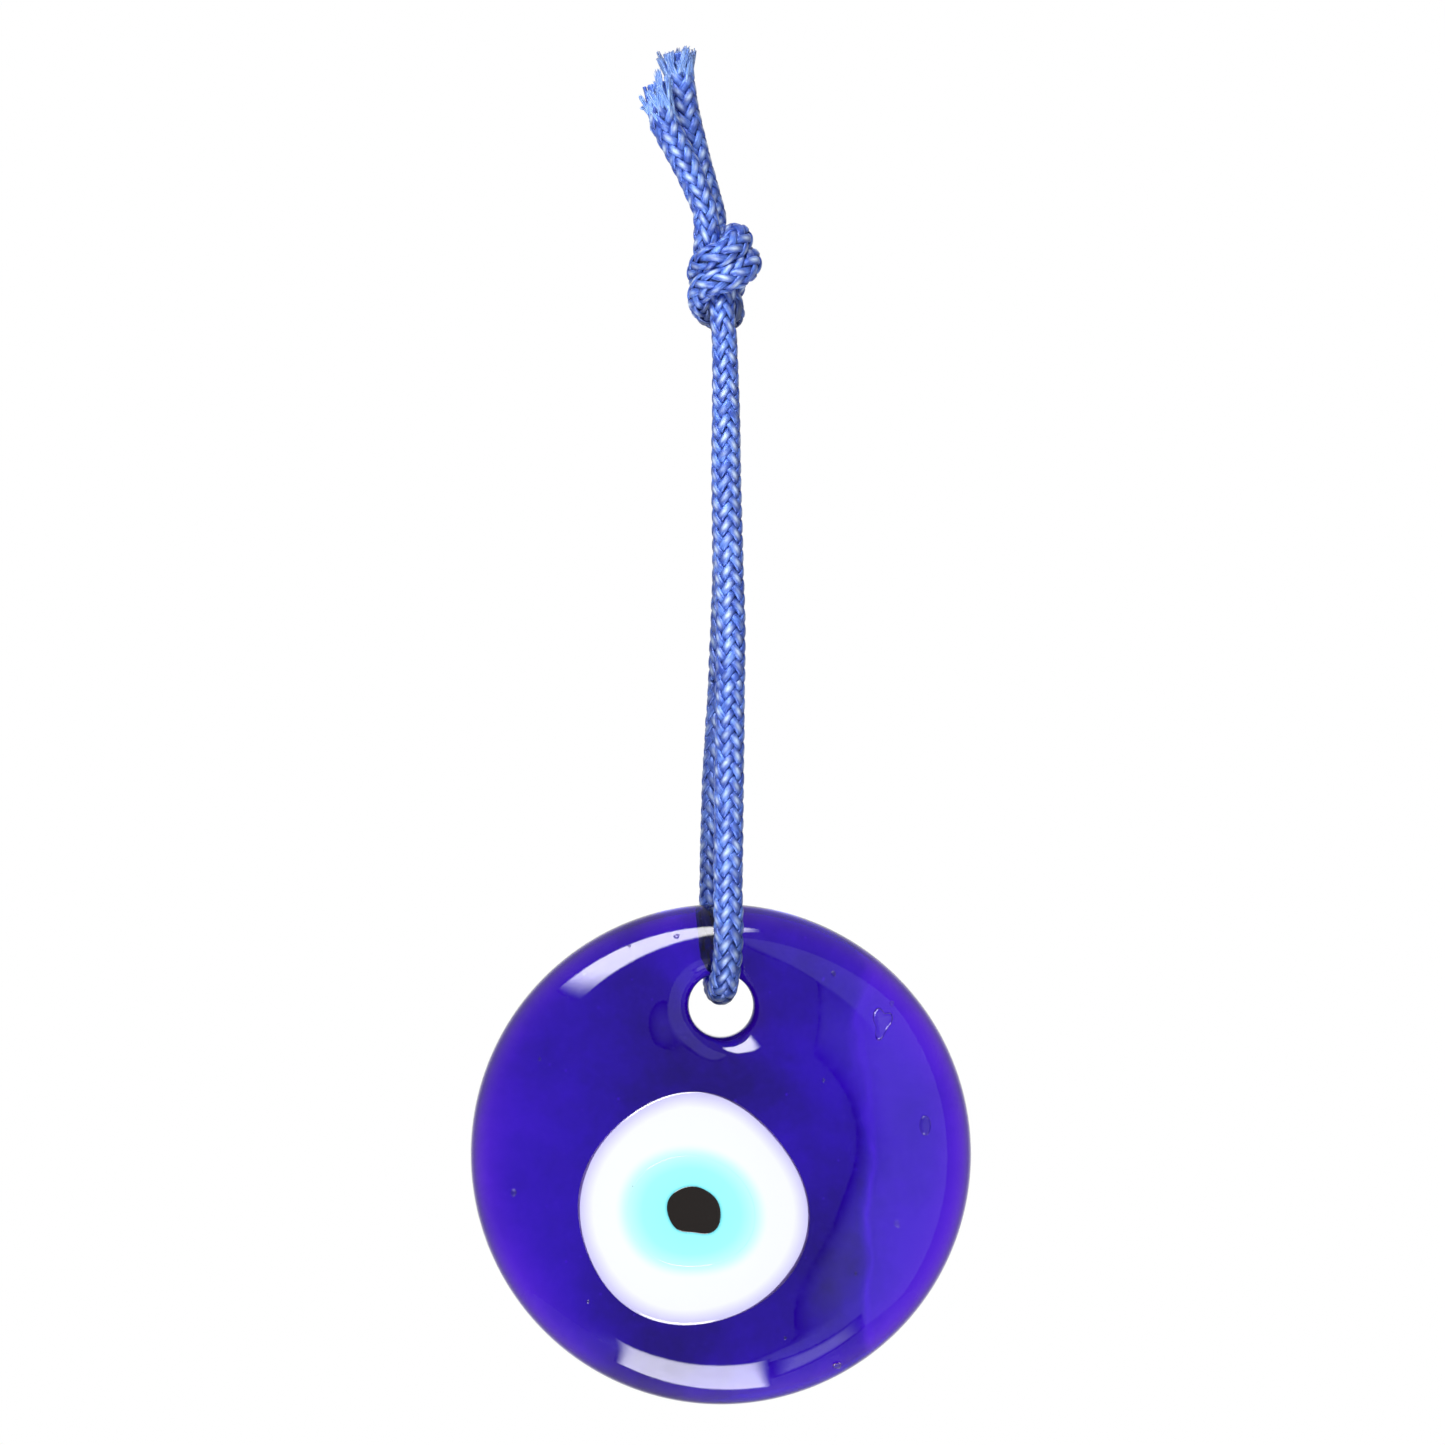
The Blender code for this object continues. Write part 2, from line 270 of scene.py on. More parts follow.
@dataclass(frozen=True)
class BraidedPolyester:
    """Cord of bright polyester filament yarn, dyed blue and braided.

    To the eye it is a satin: blue yarns streaked along their filaments, and on the crest of each float a pale
    painted highlight, where drawn threads catch the light, mixed with wear that has thinned the dye. Painted
    shade darkens the dips between the yarns, the wall side, the bend in the hole and the knot's pocket.
    """

    name: str = "polyester_filament_braid"
    deep: str = "1C3490"
    body: str = "2B4AAC"
    bright: str = "5A80DC"
    # Colours of the painted highlight and wear on the crests, of the painted shade, and of singed ends.
    glint_and_wear: str = "D2E6FF"
    painted_shade: str = "0E1440"
    singe: str = "57434F"
    gloss: str = "B4CAFF"
    filament_mm: float = 0.07
    streak_stretch: float = 0.14
    streak_share: float = 0.65
    patches_per_mm: float = 0.9
    tones: tuple[float, float, float] = (0.55, 0.80, 1.0)
    bump_mm: float = 0.03
    bump_strength: float = 0.6
    roughness: float = 0.40

    def make(self) -> bpy.types.Material:
        """Make the material: filament streaks along each yarn, from the yarn's own length and girth in mm.

        Returns:
            The material.
        """
        material, tree, shader = blank_material(self.name)
        # Polyester is clear plastic drawn to thread: IOR about 1.57, and its threads give a long soft gloss.
        set_sockets(shader, {"Roughness": self.roughness, "IOR": 1.57, "Specular IOR Level": 0.9,
                             "Specular Tint": linear(self.gloss), "Sheen Weight": 0.05,
                             "Sheen Roughness": 0.4})
        yarn = add_node(tree, "ShaderNodeAttribute", {"attribute_name": "yarn"}).outputs["Vector"]
        stretch = add_node(tree, "ShaderNodeVectorMath",
                           {"operation": "MULTIPLY", 1: (self.streak_stretch, 1.0, 1.0)}, {0: yarn})
        # Two filaments make one streak, which is as fine as can show.
        streaks = add_node(tree, "ShaderNodeTexNoise",
                           {"Scale": 1.0 / (2.0 * self.filament_mm), "Detail": 2.0},
                           {"Vector": stretch.outputs[0]})
        patches = add_node(tree, "ShaderNodeTexNoise", {"Scale": self.patches_per_mm, "Detail": 3.0},
                           {"Vector": yarn})
        mixed = add_node(tree, "ShaderNodeMath", {"operation": "MULTIPLY_ADD", 1: self.streak_share},
                         {0: streaks.outputs["Fac"], 2: patches.outputs["Fac"]})
        ramp = set_ramp(add_node(tree, "ShaderNodeValToRGB", links={0: mixed.outputs[0]}),
                        list(zip(self.tones, (self.deep, self.body, self.bright))))
        bump = add_node(tree, "ShaderNodeBump",
                        {"Strength": self.bump_strength, "Distance": self.bump_mm * MM},
                        {"Height": streaks.outputs["Fac"]})
        colour = ramp.outputs["Color"]
        # Mix in the painted highlight and wear, the painted shade and the singe.
        for mark, code in (("glint_and_wear", self.glint_and_wear), ("painted_shade", self.painted_shade), ("singe", self.singe)):
            share = add_node(tree, "ShaderNodeAttribute", {"attribute_name": mark})
            colour = add_node(tree, "ShaderNodeMix", {"data_type": "RGBA", 7: linear(code)},
                              {0: share.outputs["Fac"], 6: colour}).outputs[2]
        tree.links.new(colour, shader.inputs["Base Color"])
        tree.links.new(bump.outputs["Normal"], shader.inputs["Normal"])
        return material


@dataclass(frozen=True)
class CobaltGlass:
    """Soda-lime glass tinted with cobalt, poured by hand and fire-polished.

    To the eye it is clear and deep, darker where light goes through more of it and a little cloudy, with tiny
    clear seeds and a sharp gloss. Its tint also carries painted light: lighter towards the rim and on the
    flanks, painted shade in the middle, a painted lit zone down its right side and a painted light line along
    that zone's edge. Each share below is added to one level between darkest and clear.
    """

    name: str = "cobalt_soda_lime_glass"
    darkest: str = "7A6A8E"
    middle: str = "BAA4DA"
    clear: str = "FFFFFF"
    levels: tuple[float, float] = (0.62, 1.50)
    soak_per_m: tuple[float, float, float] = (440.0, 850.0, 60.0)
    ior: float = 1.52
    polish: tuple[float, float] = (0.015, 0.09)
    cloud_mm: float = 15.0
    cloud_share: float = 1.5
    streak_mm: float = 2.2
    streak_share: float = 0.45
    matt_streaks: tuple[float, float] = (0.45, 0.75)
    # Painted light towards the rim, then painted shade in the middle and painted light on the flanks.
    rim_mm: tuple[float, float] = (6.0, 1.2)
    rim_light_share: float = 0.16
    flank_mm: tuple[float, float] = (7.0, 19.0)
    flank_shade_and_light: tuple[float, float] = (-0.12, 0.10)
    # A painted lit zone down the right side, its edge bent by the clouds, and a painted light line along that
    # edge.
    lit_side_mm: tuple[float, float] = (13.2, 14.4)
    lit_side_bend_mm: float = 8.0
    lit_side_share: float = 0.30
    light_line_mm: float = 0.55
    light_line_share: float = 0.28
    seed_spacing_mm: float = 1.7
    seed_edge: tuple[float, float] = (0.11, 0.05)
    seeds_left_out: float = 0.80

    def make(self) -> bpy.types.Material:
        """Make the material: clear glass coloured by the thickness that light goes through, and its own tint.

        Returns:
            The material.
        """
        material, tree, shader = blank_material(self.name)
        set_sockets(shader, {"IOR": self.ior, "Transmission Weight": 1.0})
        place = add_node(tree, "ShaderNodeTexCoord").outputs["Object"]
        clouds = add_node(tree, "ShaderNodeTexNoise", {"Scale": 1.0 / (self.cloud_mm * MM), "Detail": 3.0,
                                                       "Distortion": 0.6}, {"Vector": place}).outputs["Fac"]
        streaks = add_node(tree, "ShaderNodeTexNoise", {"Scale": 1.0 / (self.streak_mm * MM), "Detail": 5.0,
                                                        "Roughness": 0.65}, {"Vector": place}).outputs["Fac"]
        level = self.level(tree, place, clouds, streaks)
        tint = set_ramp(add_node(tree, "ShaderNodeValToRGB", links={0: level}),
                        [(0.0, self.darkest), (0.5, self.middle), (1.0, self.clear)])
        seeded = add_node(tree, "ShaderNodeMix", {"data_type": "RGBA", 7: linear(self.clear)},
                          {0: self.seeds(tree, place), 6: tint.outputs["Color"]})
        tree.links.new(seeded.outputs[2], shader.inputs["Base Color"])
        matt = add_node(tree, "ShaderNodeMapRange",
                        {"From Min": self.matt_streaks[0], "From Max": self.matt_streaks[1],
                         "To Min": self.polish[0], "To Max": self.polish[1]}, {"Value": streaks})
        tree.links.new(matt.outputs[0], shader.inputs["Roughness"])
        density = max(self.soak_per_m)
        kept = [1.0 - soak / density for soak in self.soak_per_m]
        soak = add_node(tree, "ShaderNodeVolumeAbsorption", {"Color": (*kept, 1.0), "Density": density})
        tree.links.new(soak.outputs[0], tree.nodes["Material Output"].inputs["Volume"])
        return material

    def level(self, tree: bpy.types.NodeTree, place: bpy.types.NodeSocket, clouds: bpy.types.NodeSocket,
              streaks: bpy.types.NodeSocket) -> bpy.types.NodeSocket:
        """Make the level between darkest and clear: clouds and streaks, plus painted light at the rim,
        painted shade in the middle and painted light on the flanks, a painted lit side and a painted light
        line.

        The lit side is where x, bent by the clouds, passes a range, and the light line is a line at that
        range's end.

        Args:
            tree: the node tree.
            place: the place on the piece in metres.
            clouds: the wide noise.
            streaks: the fine noise.

        Returns:
            The level, from 0 to 1.
        """
        rim = add_node(tree, "ShaderNodeAttribute", {"attribute_name": "rim"}).outputs["Fac"]
        across = add_node(tree, "ShaderNodeSeparateXYZ", links={0: place}).outputs["X"]
        flank = add_node(tree, "ShaderNodeMath", {"operation": "ABSOLUTE"}, {0: across}).outputs[0]
        bent = add_node(tree, "ShaderNodeMath", {"operation": "MULTIPLY_ADD", 1: self.lit_side_bend_mm * MM},
                        {0: clouds, 2: across}).outputs[0]
        lit_side = [(edge + self.lit_side_bend_mm / 2) * MM for edge in self.lit_side_mm]
        beside = add_node(tree, "ShaderNodeMath", {"operation": "SUBTRACT", 1: lit_side[1]}, {0: bent}).outputs[0]
        light_line = add_node(tree, "ShaderNodeMath", {"operation": "ABSOLUTE"}, {0: beside}).outputs[0]
        level = add_node(tree, "ShaderNodeMath", {"operation": "MULTIPLY", 1: self.cloud_share},
                         {0: clouds}).outputs[0]
        level = add_node(tree, "ShaderNodeMath", {"operation": "MULTIPLY_ADD", 1: self.streak_share},
                         {0: streaks, 2: level}).outputs[0]
        # Painted light at the rim, painted shade and light across the flanks, the painted lit side and its
        # painted light line.
        terms = (
            (rim, self.rim_mm, (0.0, self.rim_light_share)),
            (flank, [edge * MM for edge in self.flank_mm], self.flank_shade_and_light),
            (bent, lit_side, (0.0, self.lit_side_share)),
            (light_line, (self.light_line_mm * MM, 0.0), (0.0, self.light_line_share)),
        )
        for source, (start, end), (low, high) in terms:
            term = add_node(tree, "ShaderNodeMapRange",
                            {"From Min": start, "From Max": end, "To Min": low, "To Max": high,
                             "interpolation_type": "SMOOTHSTEP"}, {"Value": source})
            level = add_node(tree, "ShaderNodeMath", {"operation": "ADD"},
                             {0: level, 1: term.outputs[0]}).outputs[0]
        return add_node(tree, "ShaderNodeMapRange", {"From Min": self.levels[0], "From Max": self.levels[1]},
                        {"Value": level}).outputs[0]

    def seeds(self, tree: bpy.types.NodeTree, place: bpy.types.NodeSocket) -> bpy.types.NodeSocket:
        """Make the seeds: small dots at the middle of a few of the cells of a cell pattern.

        Args:
            tree: the node tree.
            place: the place on the piece in metres.

        Returns:
            The share of clear glass.
        """
        cells = add_node(tree, "ShaderNodeTexVoronoi", {"Scale": 1.0 / (self.seed_spacing_mm * MM)},
                         {"Vector": place})
        size = add_node(tree, "ShaderNodeMapRange",
                        {"From Min": self.seed_edge[0], "From Max": self.seed_edge[1]},
                        {"Value": cells.outputs["Distance"]})
        draw = add_node(tree, "ShaderNodeSeparateColor", links={0: cells.outputs["Color"]})
        rare = add_node(tree, "ShaderNodeMath", {"operation": "GREATER_THAN", 1: self.seeds_left_out},
                        {0: draw.outputs[0]})
        return add_node(tree, "ShaderNodeMath", {"operation": "MULTIPLY"},
                        {0: size.outputs[0], 1: rare.outputs[0]}).outputs[0]


@dataclass(frozen=True)
class FusedGlass:
    """Opaque glass dropped hot on the disc and fire-polished.

    To the eye it is milky and even, with a thin clear gloss. Its colour runs from its middle to its edge,
    the next drop bleeds a little into it, and a few specks of ash lie in it.
    """

    name: str
    stops: tuple[tuple[float, str], ...]
    speck: str
    bleed: str
    bleed_end: float
    bleed_start: float = 0.97
    roughness: float = 0.10
    drift_mm: float = 3.8462
    drift_share: float = 0.03
    speck_spacing_mm: float = 3.2
    speck_share: float = 0.02

    def make(self) -> bpy.types.Material:
        """Make the material: colour by the share of the way to the drop's edge, with a few dark specks.

        Returns:
            The material.
        """
        material, tree, shader = blank_material(self.name)
        set_sockets(shader, {"Roughness": self.roughness, "IOR": 1.52, "Coat Weight": 0.3,
                             "Coat Roughness": 0.03})
        place = add_node(tree, "ShaderNodeTexCoord").outputs["Object"]
        edge = add_node(tree, "ShaderNodeAttribute", {"attribute_name": "edge"})
        drift = add_node(tree, "ShaderNodeTexNoise", {"Scale": 1.0 / (self.drift_mm * MM), "Detail": 3.0},
                         {"Vector": place})
        moved = add_node(tree, "ShaderNodeMath", {"operation": "MULTIPLY_ADD", 1: self.drift_share},
                         {0: drift.outputs["Fac"], 2: edge.outputs["Fac"]})
        ramp = set_ramp(add_node(tree, "ShaderNodeValToRGB", links={0: moved.outputs[0]}), list(self.stops))
        next_drop = add_node(tree, "ShaderNodeAttribute", {"attribute_name": "next_drop"})
        bled = add_node(tree, "ShaderNodeMapRange", {"From Min": self.bleed_end, "From Max": self.bleed_start,
                                                     "interpolation_type": "SMOOTHSTEP"},
                        {"Value": next_drop.outputs["Fac"]})
        dots = add_node(tree, "ShaderNodeTexVoronoi", {"Scale": 1.0 / (self.speck_spacing_mm * MM)},
                        {"Vector": place})
        specks = add_node(tree, "ShaderNodeMath", {"operation": "LESS_THAN", 1: self.speck_share},
                          {0: dots.outputs["Distance"]})
        colour = ramp.outputs["Color"]
        for share, code in ((bled, self.bleed), (specks, self.speck)):
            colour = add_node(tree, "ShaderNodeMix", {"data_type": "RGBA", 7: linear(code)},
                              {0: share.outputs[0], 6: colour}).outputs[2]
        tree.links.new(colour, shader.inputs["Base Color"])
        return material


# ---------------------------------------------------------------- the cord


def smooth_path(route: np.ndarray, step_mm: float) -> tuple[np.ndarray, np.ndarray]:
    """Read evenly spaced points from a Catmull-Rom curve through the route's own points.

    Args:
        route: the route, shaped (points, values): the first three values are x, y and z in mm, and any
            further ones are carried along the same curve.
        step_mm: the wanted spacing.

    Returns:
        The points, shaped (rows, values), and their distance from the start in mm.
    """
    padded = np.vstack([2 * route[0] - route[1], route, 2 * route[-1] - route[-2]])
    t = np.linspace(0.0, 1.0, CURVE_STEPS, endpoint=False)[None, :, None]
    a, b, c, d = (padded[k:len(padded) - 3 + k, None, :] for k in range(4))
    square, cube = 2 * a - 5 * b + 4 * c - d, 3 * b - a - 3 * c + d
    curve = 0.5 * (2 * b + (c - a) * t + square * t ** 2 + cube * t ** 3)
    line = np.vstack([curve.reshape(-1, route.shape[1]), route[-1:]])
    travel = np.concatenate([[0.0], np.linalg.norm(np.diff(line[:, :3], axis=0), axis=1).cumsum()])
    rows = max(8, int(round(travel[-1] / step_mm)) + 1)
    along = np.linspace(0.0, travel[-1], rows)
    return np.stack([np.interp(along, travel, line[:, k]) for k in range(line.shape[1])], 1), along


def unit(vectors: np.ndarray) -> np.ndarray:
    """Scale vectors to length 1."""
    return vectors / np.linalg.norm(vectors, axis=-1, keepdims=True)


def path_frames(path: np.ndarray, sideways: np.ndarray) -> tuple[np.ndarray, np.ndarray, np.ndarray]:
    """Give a frame at each point of a path, turned along it with the least twist.

    Args:
        path: points in mm, shaped (rows, 3).
        sideways: the direction that the first frame's first side points nearest to.

    Returns:
        The path's directions and the two sides, each shaped (rows, 3).
    """
    ahead = unit(np.gradient(path, axis=0))
    side = np.empty_like(path)
    carried = sideways
    for row, direction in enumerate(ahead):
        carried = carried - direction * (carried @ direction)
        carried = carried / np.linalg.norm(carried)
        side[row] = carried
    return ahead, side, np.cross(ahead, side)


@dataclass(frozen=True)
class Braid:
    """A round herringbone braid: eight yarns wind each way, and each goes over two and under two."""

    diameter_mm: float = 3.0
    each_way: int = 8
    pitch_mm: float = 11.8
    yarn_width_mm: float = 0.86
    yarn_height_mm: float = 0.44
    crossing_mm: float = 0.20
    core_radius_mm: float = 0.74
    step_mm: float = 0.17
    sides: int = 10
    fullness: float = 0.85
    squareness: float = 1.5
    # How far a yarn strays: round the cord in radians, in and out in mm, and as a share of its width.
    stray_round: float = 0.06
    stray_out_mm: float = 0.025
    stray_width: float = 0.05
    # Painted shade in the dips between the yarns, up to this distance from the cord's middle.
    dip_shade: float = 0.85
    dip_range_mm: tuple[float, float] = (1.12, 1.42)
    # Painted highlight and wear on the floats' crests: its level and change along the cord, and the part of
    # the section it takes.
    crest_glint_and_wear: float = 1.0
    crest_power: int = 4
    crest_level: tuple[float, float] = (0.8, 0.6)
    crest_facing: tuple[float, float] = (0.75, 0.98)
    # An open end: the share of the pattern that it loses, and how it swells, slumps and thins.
    open_slip: float = 0.95
    open_swell: float = 0.16
    open_slump_mm: float = 0.30
    open_thinning: float = 0.45
    thinning_span: tuple[float, float] = (0.8, 0.3)
    # A scorched spot: its x and z, its strength, and the distances over which it fades.
    scorch_place: tuple[float, float] = (1.2, 12.4)
    scorch_share: float = 0.75
    scorch_range_mm: tuple[float, float] = (0.25, 0.85)

    @property
    def yarn_radius_mm(self) -> float:
        """How far the yarns' middle lies from the cord's middle."""
        return self.diameter_mm / 2 - self.crossing_mm - self.yarn_height_mm / 2

    def yarn_lines(self, path: np.ndarray, along: np.ndarray, frames: tuple[np.ndarray, ...],
                   phase_mm: np.ndarray, swell: np.ndarray, lift: np.ndarray,
                   rng: np.random.Generator) -> tuple[np.ndarray, np.ndarray, np.ndarray]:
        """Give each yarn's middle line, the direction out of the cord there, and its wear.

        A yarn turns once round the cord in a pitch, half of them to the left and half to the right. The
        crossings are counted along a yarn, and its distance from the middle is the flattened cosine
        tanh(s cos) of that count, once in four crossings. It is the other way on the yarns that turn the
        other way, so that each passes over two and under two and the floats stand in upright columns.

        Args:
            path: the cord's middle line, shaped (rows, 3).
            along: the distance along it.
            frames: its directions and sides.
            phase_mm: the place in the braid's pattern at each row.
            swell: the cord's thickness at each row, as a share of the full one.
            lift: the height of the crossings at each row, as a share of the full one.
            rng: the source of small irregularities.

        Returns:
            Lines and outward directions, each shaped (yarns, rows, 3), and the painted highlight and wear of
            each float's crest, shaped (yarns, rows).
        """
        _, side, other = frames
        start = TAU * np.arange(self.each_way)[:, None] / self.each_way
        turn = TAU * phase_mm[None, :] / self.pitch_mm
        wobble = self.stray_round * ripple(along, (9.0, 4.3), rng, 2 * self.each_way)
        angle = np.concatenate([start + turn, start - turn]) + wobble
        count = 2.0 * self.each_way * phase_mm / self.pitch_mm
        number = 2.0 * np.arange(self.each_way)[:, None]
        place = np.concatenate([number + count, number - count])
        crown = np.cos(TAU * (place - 0.5) / 4)
        crown[self.each_way:] *= -1.0
        over = np.tanh(self.squareness * crown) / math.tanh(self.squareness)
        height = self.crossing_mm * lift * over
        height = height + self.stray_out_mm * ripple(along, (7.0, 3.1, 1.9), rng, 2 * self.each_way)
        radius = (self.yarn_radius_mm + height) * swell
        out = np.cos(angle)[..., None] * side + np.sin(angle)[..., None] * other
        # The painted highlight and wear on each crest, stronger or weaker along the cord.
        level, change = self.crest_level
        strength = np.clip(level + change * ripple(along, (3.7, 2.2), rng, len(over)), 0, 1)
        crest = np.clip(crown, 0.0, 1.0) ** self.crest_power * strength
        return path + radius[..., None] * out, out, crest

    def yarn_rings(self, lines: np.ndarray, out: np.ndarray, width: np.ndarray,
                   height: np.ndarray) -> tuple[np.ndarray, np.ndarray]:
        """Carry a flattened round section along each line, with its flat side facing out of the cord.

        The section is x = w cos(a), y = h sin(a), both raised to a power under 1, which fills its corners.

        Args:
            lines: middle lines in mm, shaped (yarns, rows, 3).
            out: outward directions, the same shape.
            width: the section's width at each row.
            height: its height at each row.

        Returns:
            Rings shaped (yarns, rows, sides, 3), and for each point its place along the yarn, round it and
            the yarn's number, as the pattern coordinates in mm.
        """
        ahead = unit(np.gradient(lines, axis=1))
        across = unit(np.cross(ahead, out))
        up = np.cross(across, ahead)
        turn = TAU * (np.arange(self.sides) / self.sides) - TAU / 4
        shape = [np.sign(f(turn)) * np.abs(f(turn)) ** self.fullness for f in (np.cos, np.sin)]
        flat = (width / 2)[..., None, None] * shape[0][:, None] * across[:, :, None, :]
        tall = (height / 2)[..., None, None] * shape[1][:, None] * up[:, :, None, :]
        rings = lines[:, :, None, :] + flat + tall
        travel = np.concatenate([np.zeros((len(lines), 1)),
                                 np.linalg.norm(np.diff(lines, axis=1), axis=2).cumsum(1)], 1)
        girth = np.arange(self.sides) / self.sides * (self.yarn_width_mm + self.yarn_height_mm) * GIRTH_SHARE
        number = YARN_MARK_MM * np.arange(len(lines))
        marks = np.broadcast_arrays(travel[:, :, None], girth[None, None, :], number[:, None, None])
        return rings, np.stack(marks, -1)

    def make(self, name: str, route: np.ndarray, material: bpy.types.Material, seed: int,
             phase_start: float = 0.0, phase_end: float | None = None, fray_mm: float = 0.0,
             fray: FrayedEnd | None = None) -> BraidedStretch:
        """Braid a stretch of cord along a route.

        Args:
            name: the piece's name.
            route: points in mm with the cord's thickness as a share, shaped (points, 4).
            material: the cord's finish.
            seed: the seed of the yarns' small irregularities.
            phase_start: where in the braid's pattern the stretch starts, in mm.
            phase_end: where it ends; without one the pattern runs at its own pitch.
            fray_mm: how much of the far end has come open.
            fray: how the open end's filaments lie.

        Returns:
            The piece, its middle line and length, and the tuft at its end.
        """
        rng = np.random.default_rng(seed)
        values, along = smooth_path(route, self.step_mm)
        path, swell = values[:, :3], values[:, 3]
        length = float(along[-1])
        frames = path_frames(path, np.array([1.0, 0.0, 0.0]))
        last = phase_start + length if phase_end is None else phase_end
        phase = phase_start + (last - phase_start) * along / length
        opened = smooth_step(along, length - fray_mm, length) if fray_mm else np.zeros_like(along)
        phase = phase - np.cumsum(opened) * self.step_mm * self.open_slip
        loosened = swell * (1 + self.open_swell * opened)
        lines, out, crest = self.yarn_lines(path, along, frames, phase, loosened, 1 - opened, rng)
        thin = 1.0
        if fray_mm:
            thin_from, thin_to = (length - share * fray_mm for share in self.thinning_span)
            thin = 1 - self.open_thinning * smooth_step(along, thin_from, thin_to)
        width = np.broadcast_to(self.yarn_width_mm * swell * thin, lines.shape[:2])
        width = width * (1 + self.stray_width * ripple(along, (5.0, 2.3), rng, len(lines)))
        height = np.broadcast_to(self.yarn_height_mm * swell * thin, lines.shape[:2])
        core = path[None] + 0.0 * lines[:1]
        everything = np.concatenate([lines - self.open_slump_mm * opened[:, None] * out, core])
        outward = np.concatenate([out, np.broadcast_to(frames[1], core.shape)])
        core_width = np.broadcast_to(2 * self.core_radius_mm * swell * thin, (1, len(path)))
        rings, marks = self.yarn_rings(everything, outward, np.concatenate([width, core_width]),
                                       np.concatenate([height, core_width]))
        # Painted shade in the dips between the yarns, fading where the end has come open.
        reach = np.linalg.norm(rings - path[None, :, None, :], axis=-1) / swell[None, :, None]
        dips = self.dip_shade * (1 - smooth_step(reach, *self.dip_range_mm)) * (1 - opened[:, None])
        # Painted highlight and wear on each float's crest, on the yarn's outer face; none on the core.
        facing = smooth_step(np.sin(TAU * np.arange(self.sides) / self.sides - TAU / 4), *self.crest_facing)
        glint_and_wear = np.concatenate([self.crest_glint_and_wear * crest[..., None] * facing, 0.0 * reach[-1:]])
        from_scorch = np.hypot(rings[..., 0] - self.scorch_place[0], rings[..., 2] - self.scorch_place[1])
        scorch = self.scorch_share * (1 - smooth_step(from_scorch, *self.scorch_range_mm))
        # The painted shade is the deeper of the dips' painted shade and the cord's painted shade.
        piece = ring_mesh(name, rings, material, attributes={
            "yarn": marks, "painted_shade": np.maximum(PaintedShade().share(rings), dips), "glint_and_wear": glint_and_wear, "singe": scorch})
        tuft = fray.make(name.replace("braid", "tuft"), lines, path, along, fray_mm, rng) if fray else None
        return BraidedStretch(piece, path, length, tuft)


@dataclass(frozen=True)
class PaintedShade:
    """Painted shade on the cord: on its wall side, at the bottom of its bend in the hole, darker towards the
    hole, and in the knot's pocket. Sizes in mm.
    """

    wall: float = 0.45
    wall_y: tuple[float, float] = (0.6, 2.4)
    wall_z: tuple[float, float] = (-61.0, -57.5)
    hole_bottom: float = 0.92
    hole_bottom_drop: tuple[float, float] = (64.2, 66.0)
    hole_bottom_y: tuple[float, float] = (3.2, 5.6)
    near_hole: float = 0.35
    near_hole_drop: tuple[float, float] = (55.0, 62.0)
    pocket: float = 0.80
    pocket_x: tuple[float, float] = (1.9, 2.5)
    pocket_y: tuple[float, float] = (-1.5, -0.6)
    pocket_foot_z: tuple[float, float] = (-1.2, 0.4)
    pocket_top_z: tuple[float, float] = (3.6, 4.6)

    def share(self, points: np.ndarray) -> np.ndarray:
        """Give the painted shade at these points.

        Args:
            points: places in mm, with x, y and z along the last axis.

        Returns:
            Shares from 0 to 1, one for each place.
        """
        x, y, z = np.moveaxis(points, -1, 0)
        # Painted shade: on the wall side, at the bottom of the bend in the hole, darker towards the hole, and
        # in the knot's pocket.
        wall = self.wall * smooth_step(y, *self.wall_y) * smooth_step(z, *self.wall_z)
        hole_bottom = self.hole_bottom * smooth_step(-z, *self.hole_bottom_drop) * (1.0 - smooth_step(np.abs(y), *self.hole_bottom_y))
        near_hole = self.near_hole * smooth_step(-z, *self.near_hole_drop)
        pocket = self.pocket * smooth_step(y, *self.pocket_y) * (1.0 - smooth_step(np.abs(x), *self.pocket_x))
        pocket = pocket * smooth_step(z, *self.pocket_foot_z) * (1.0 - smooth_step(z, *self.pocket_top_z))
        return np.maximum.reduce([wall, hole_bottom, near_hole, pocket])


@dataclass(frozen=True)
class BraidedStretch:
    """A made stretch of cord: its piece, middle line in mm, length in mm and any tuft at its open end."""

    piece: bpy.types.Object
    path: np.ndarray
    length: float
    tuft: bpy.types.Object | None


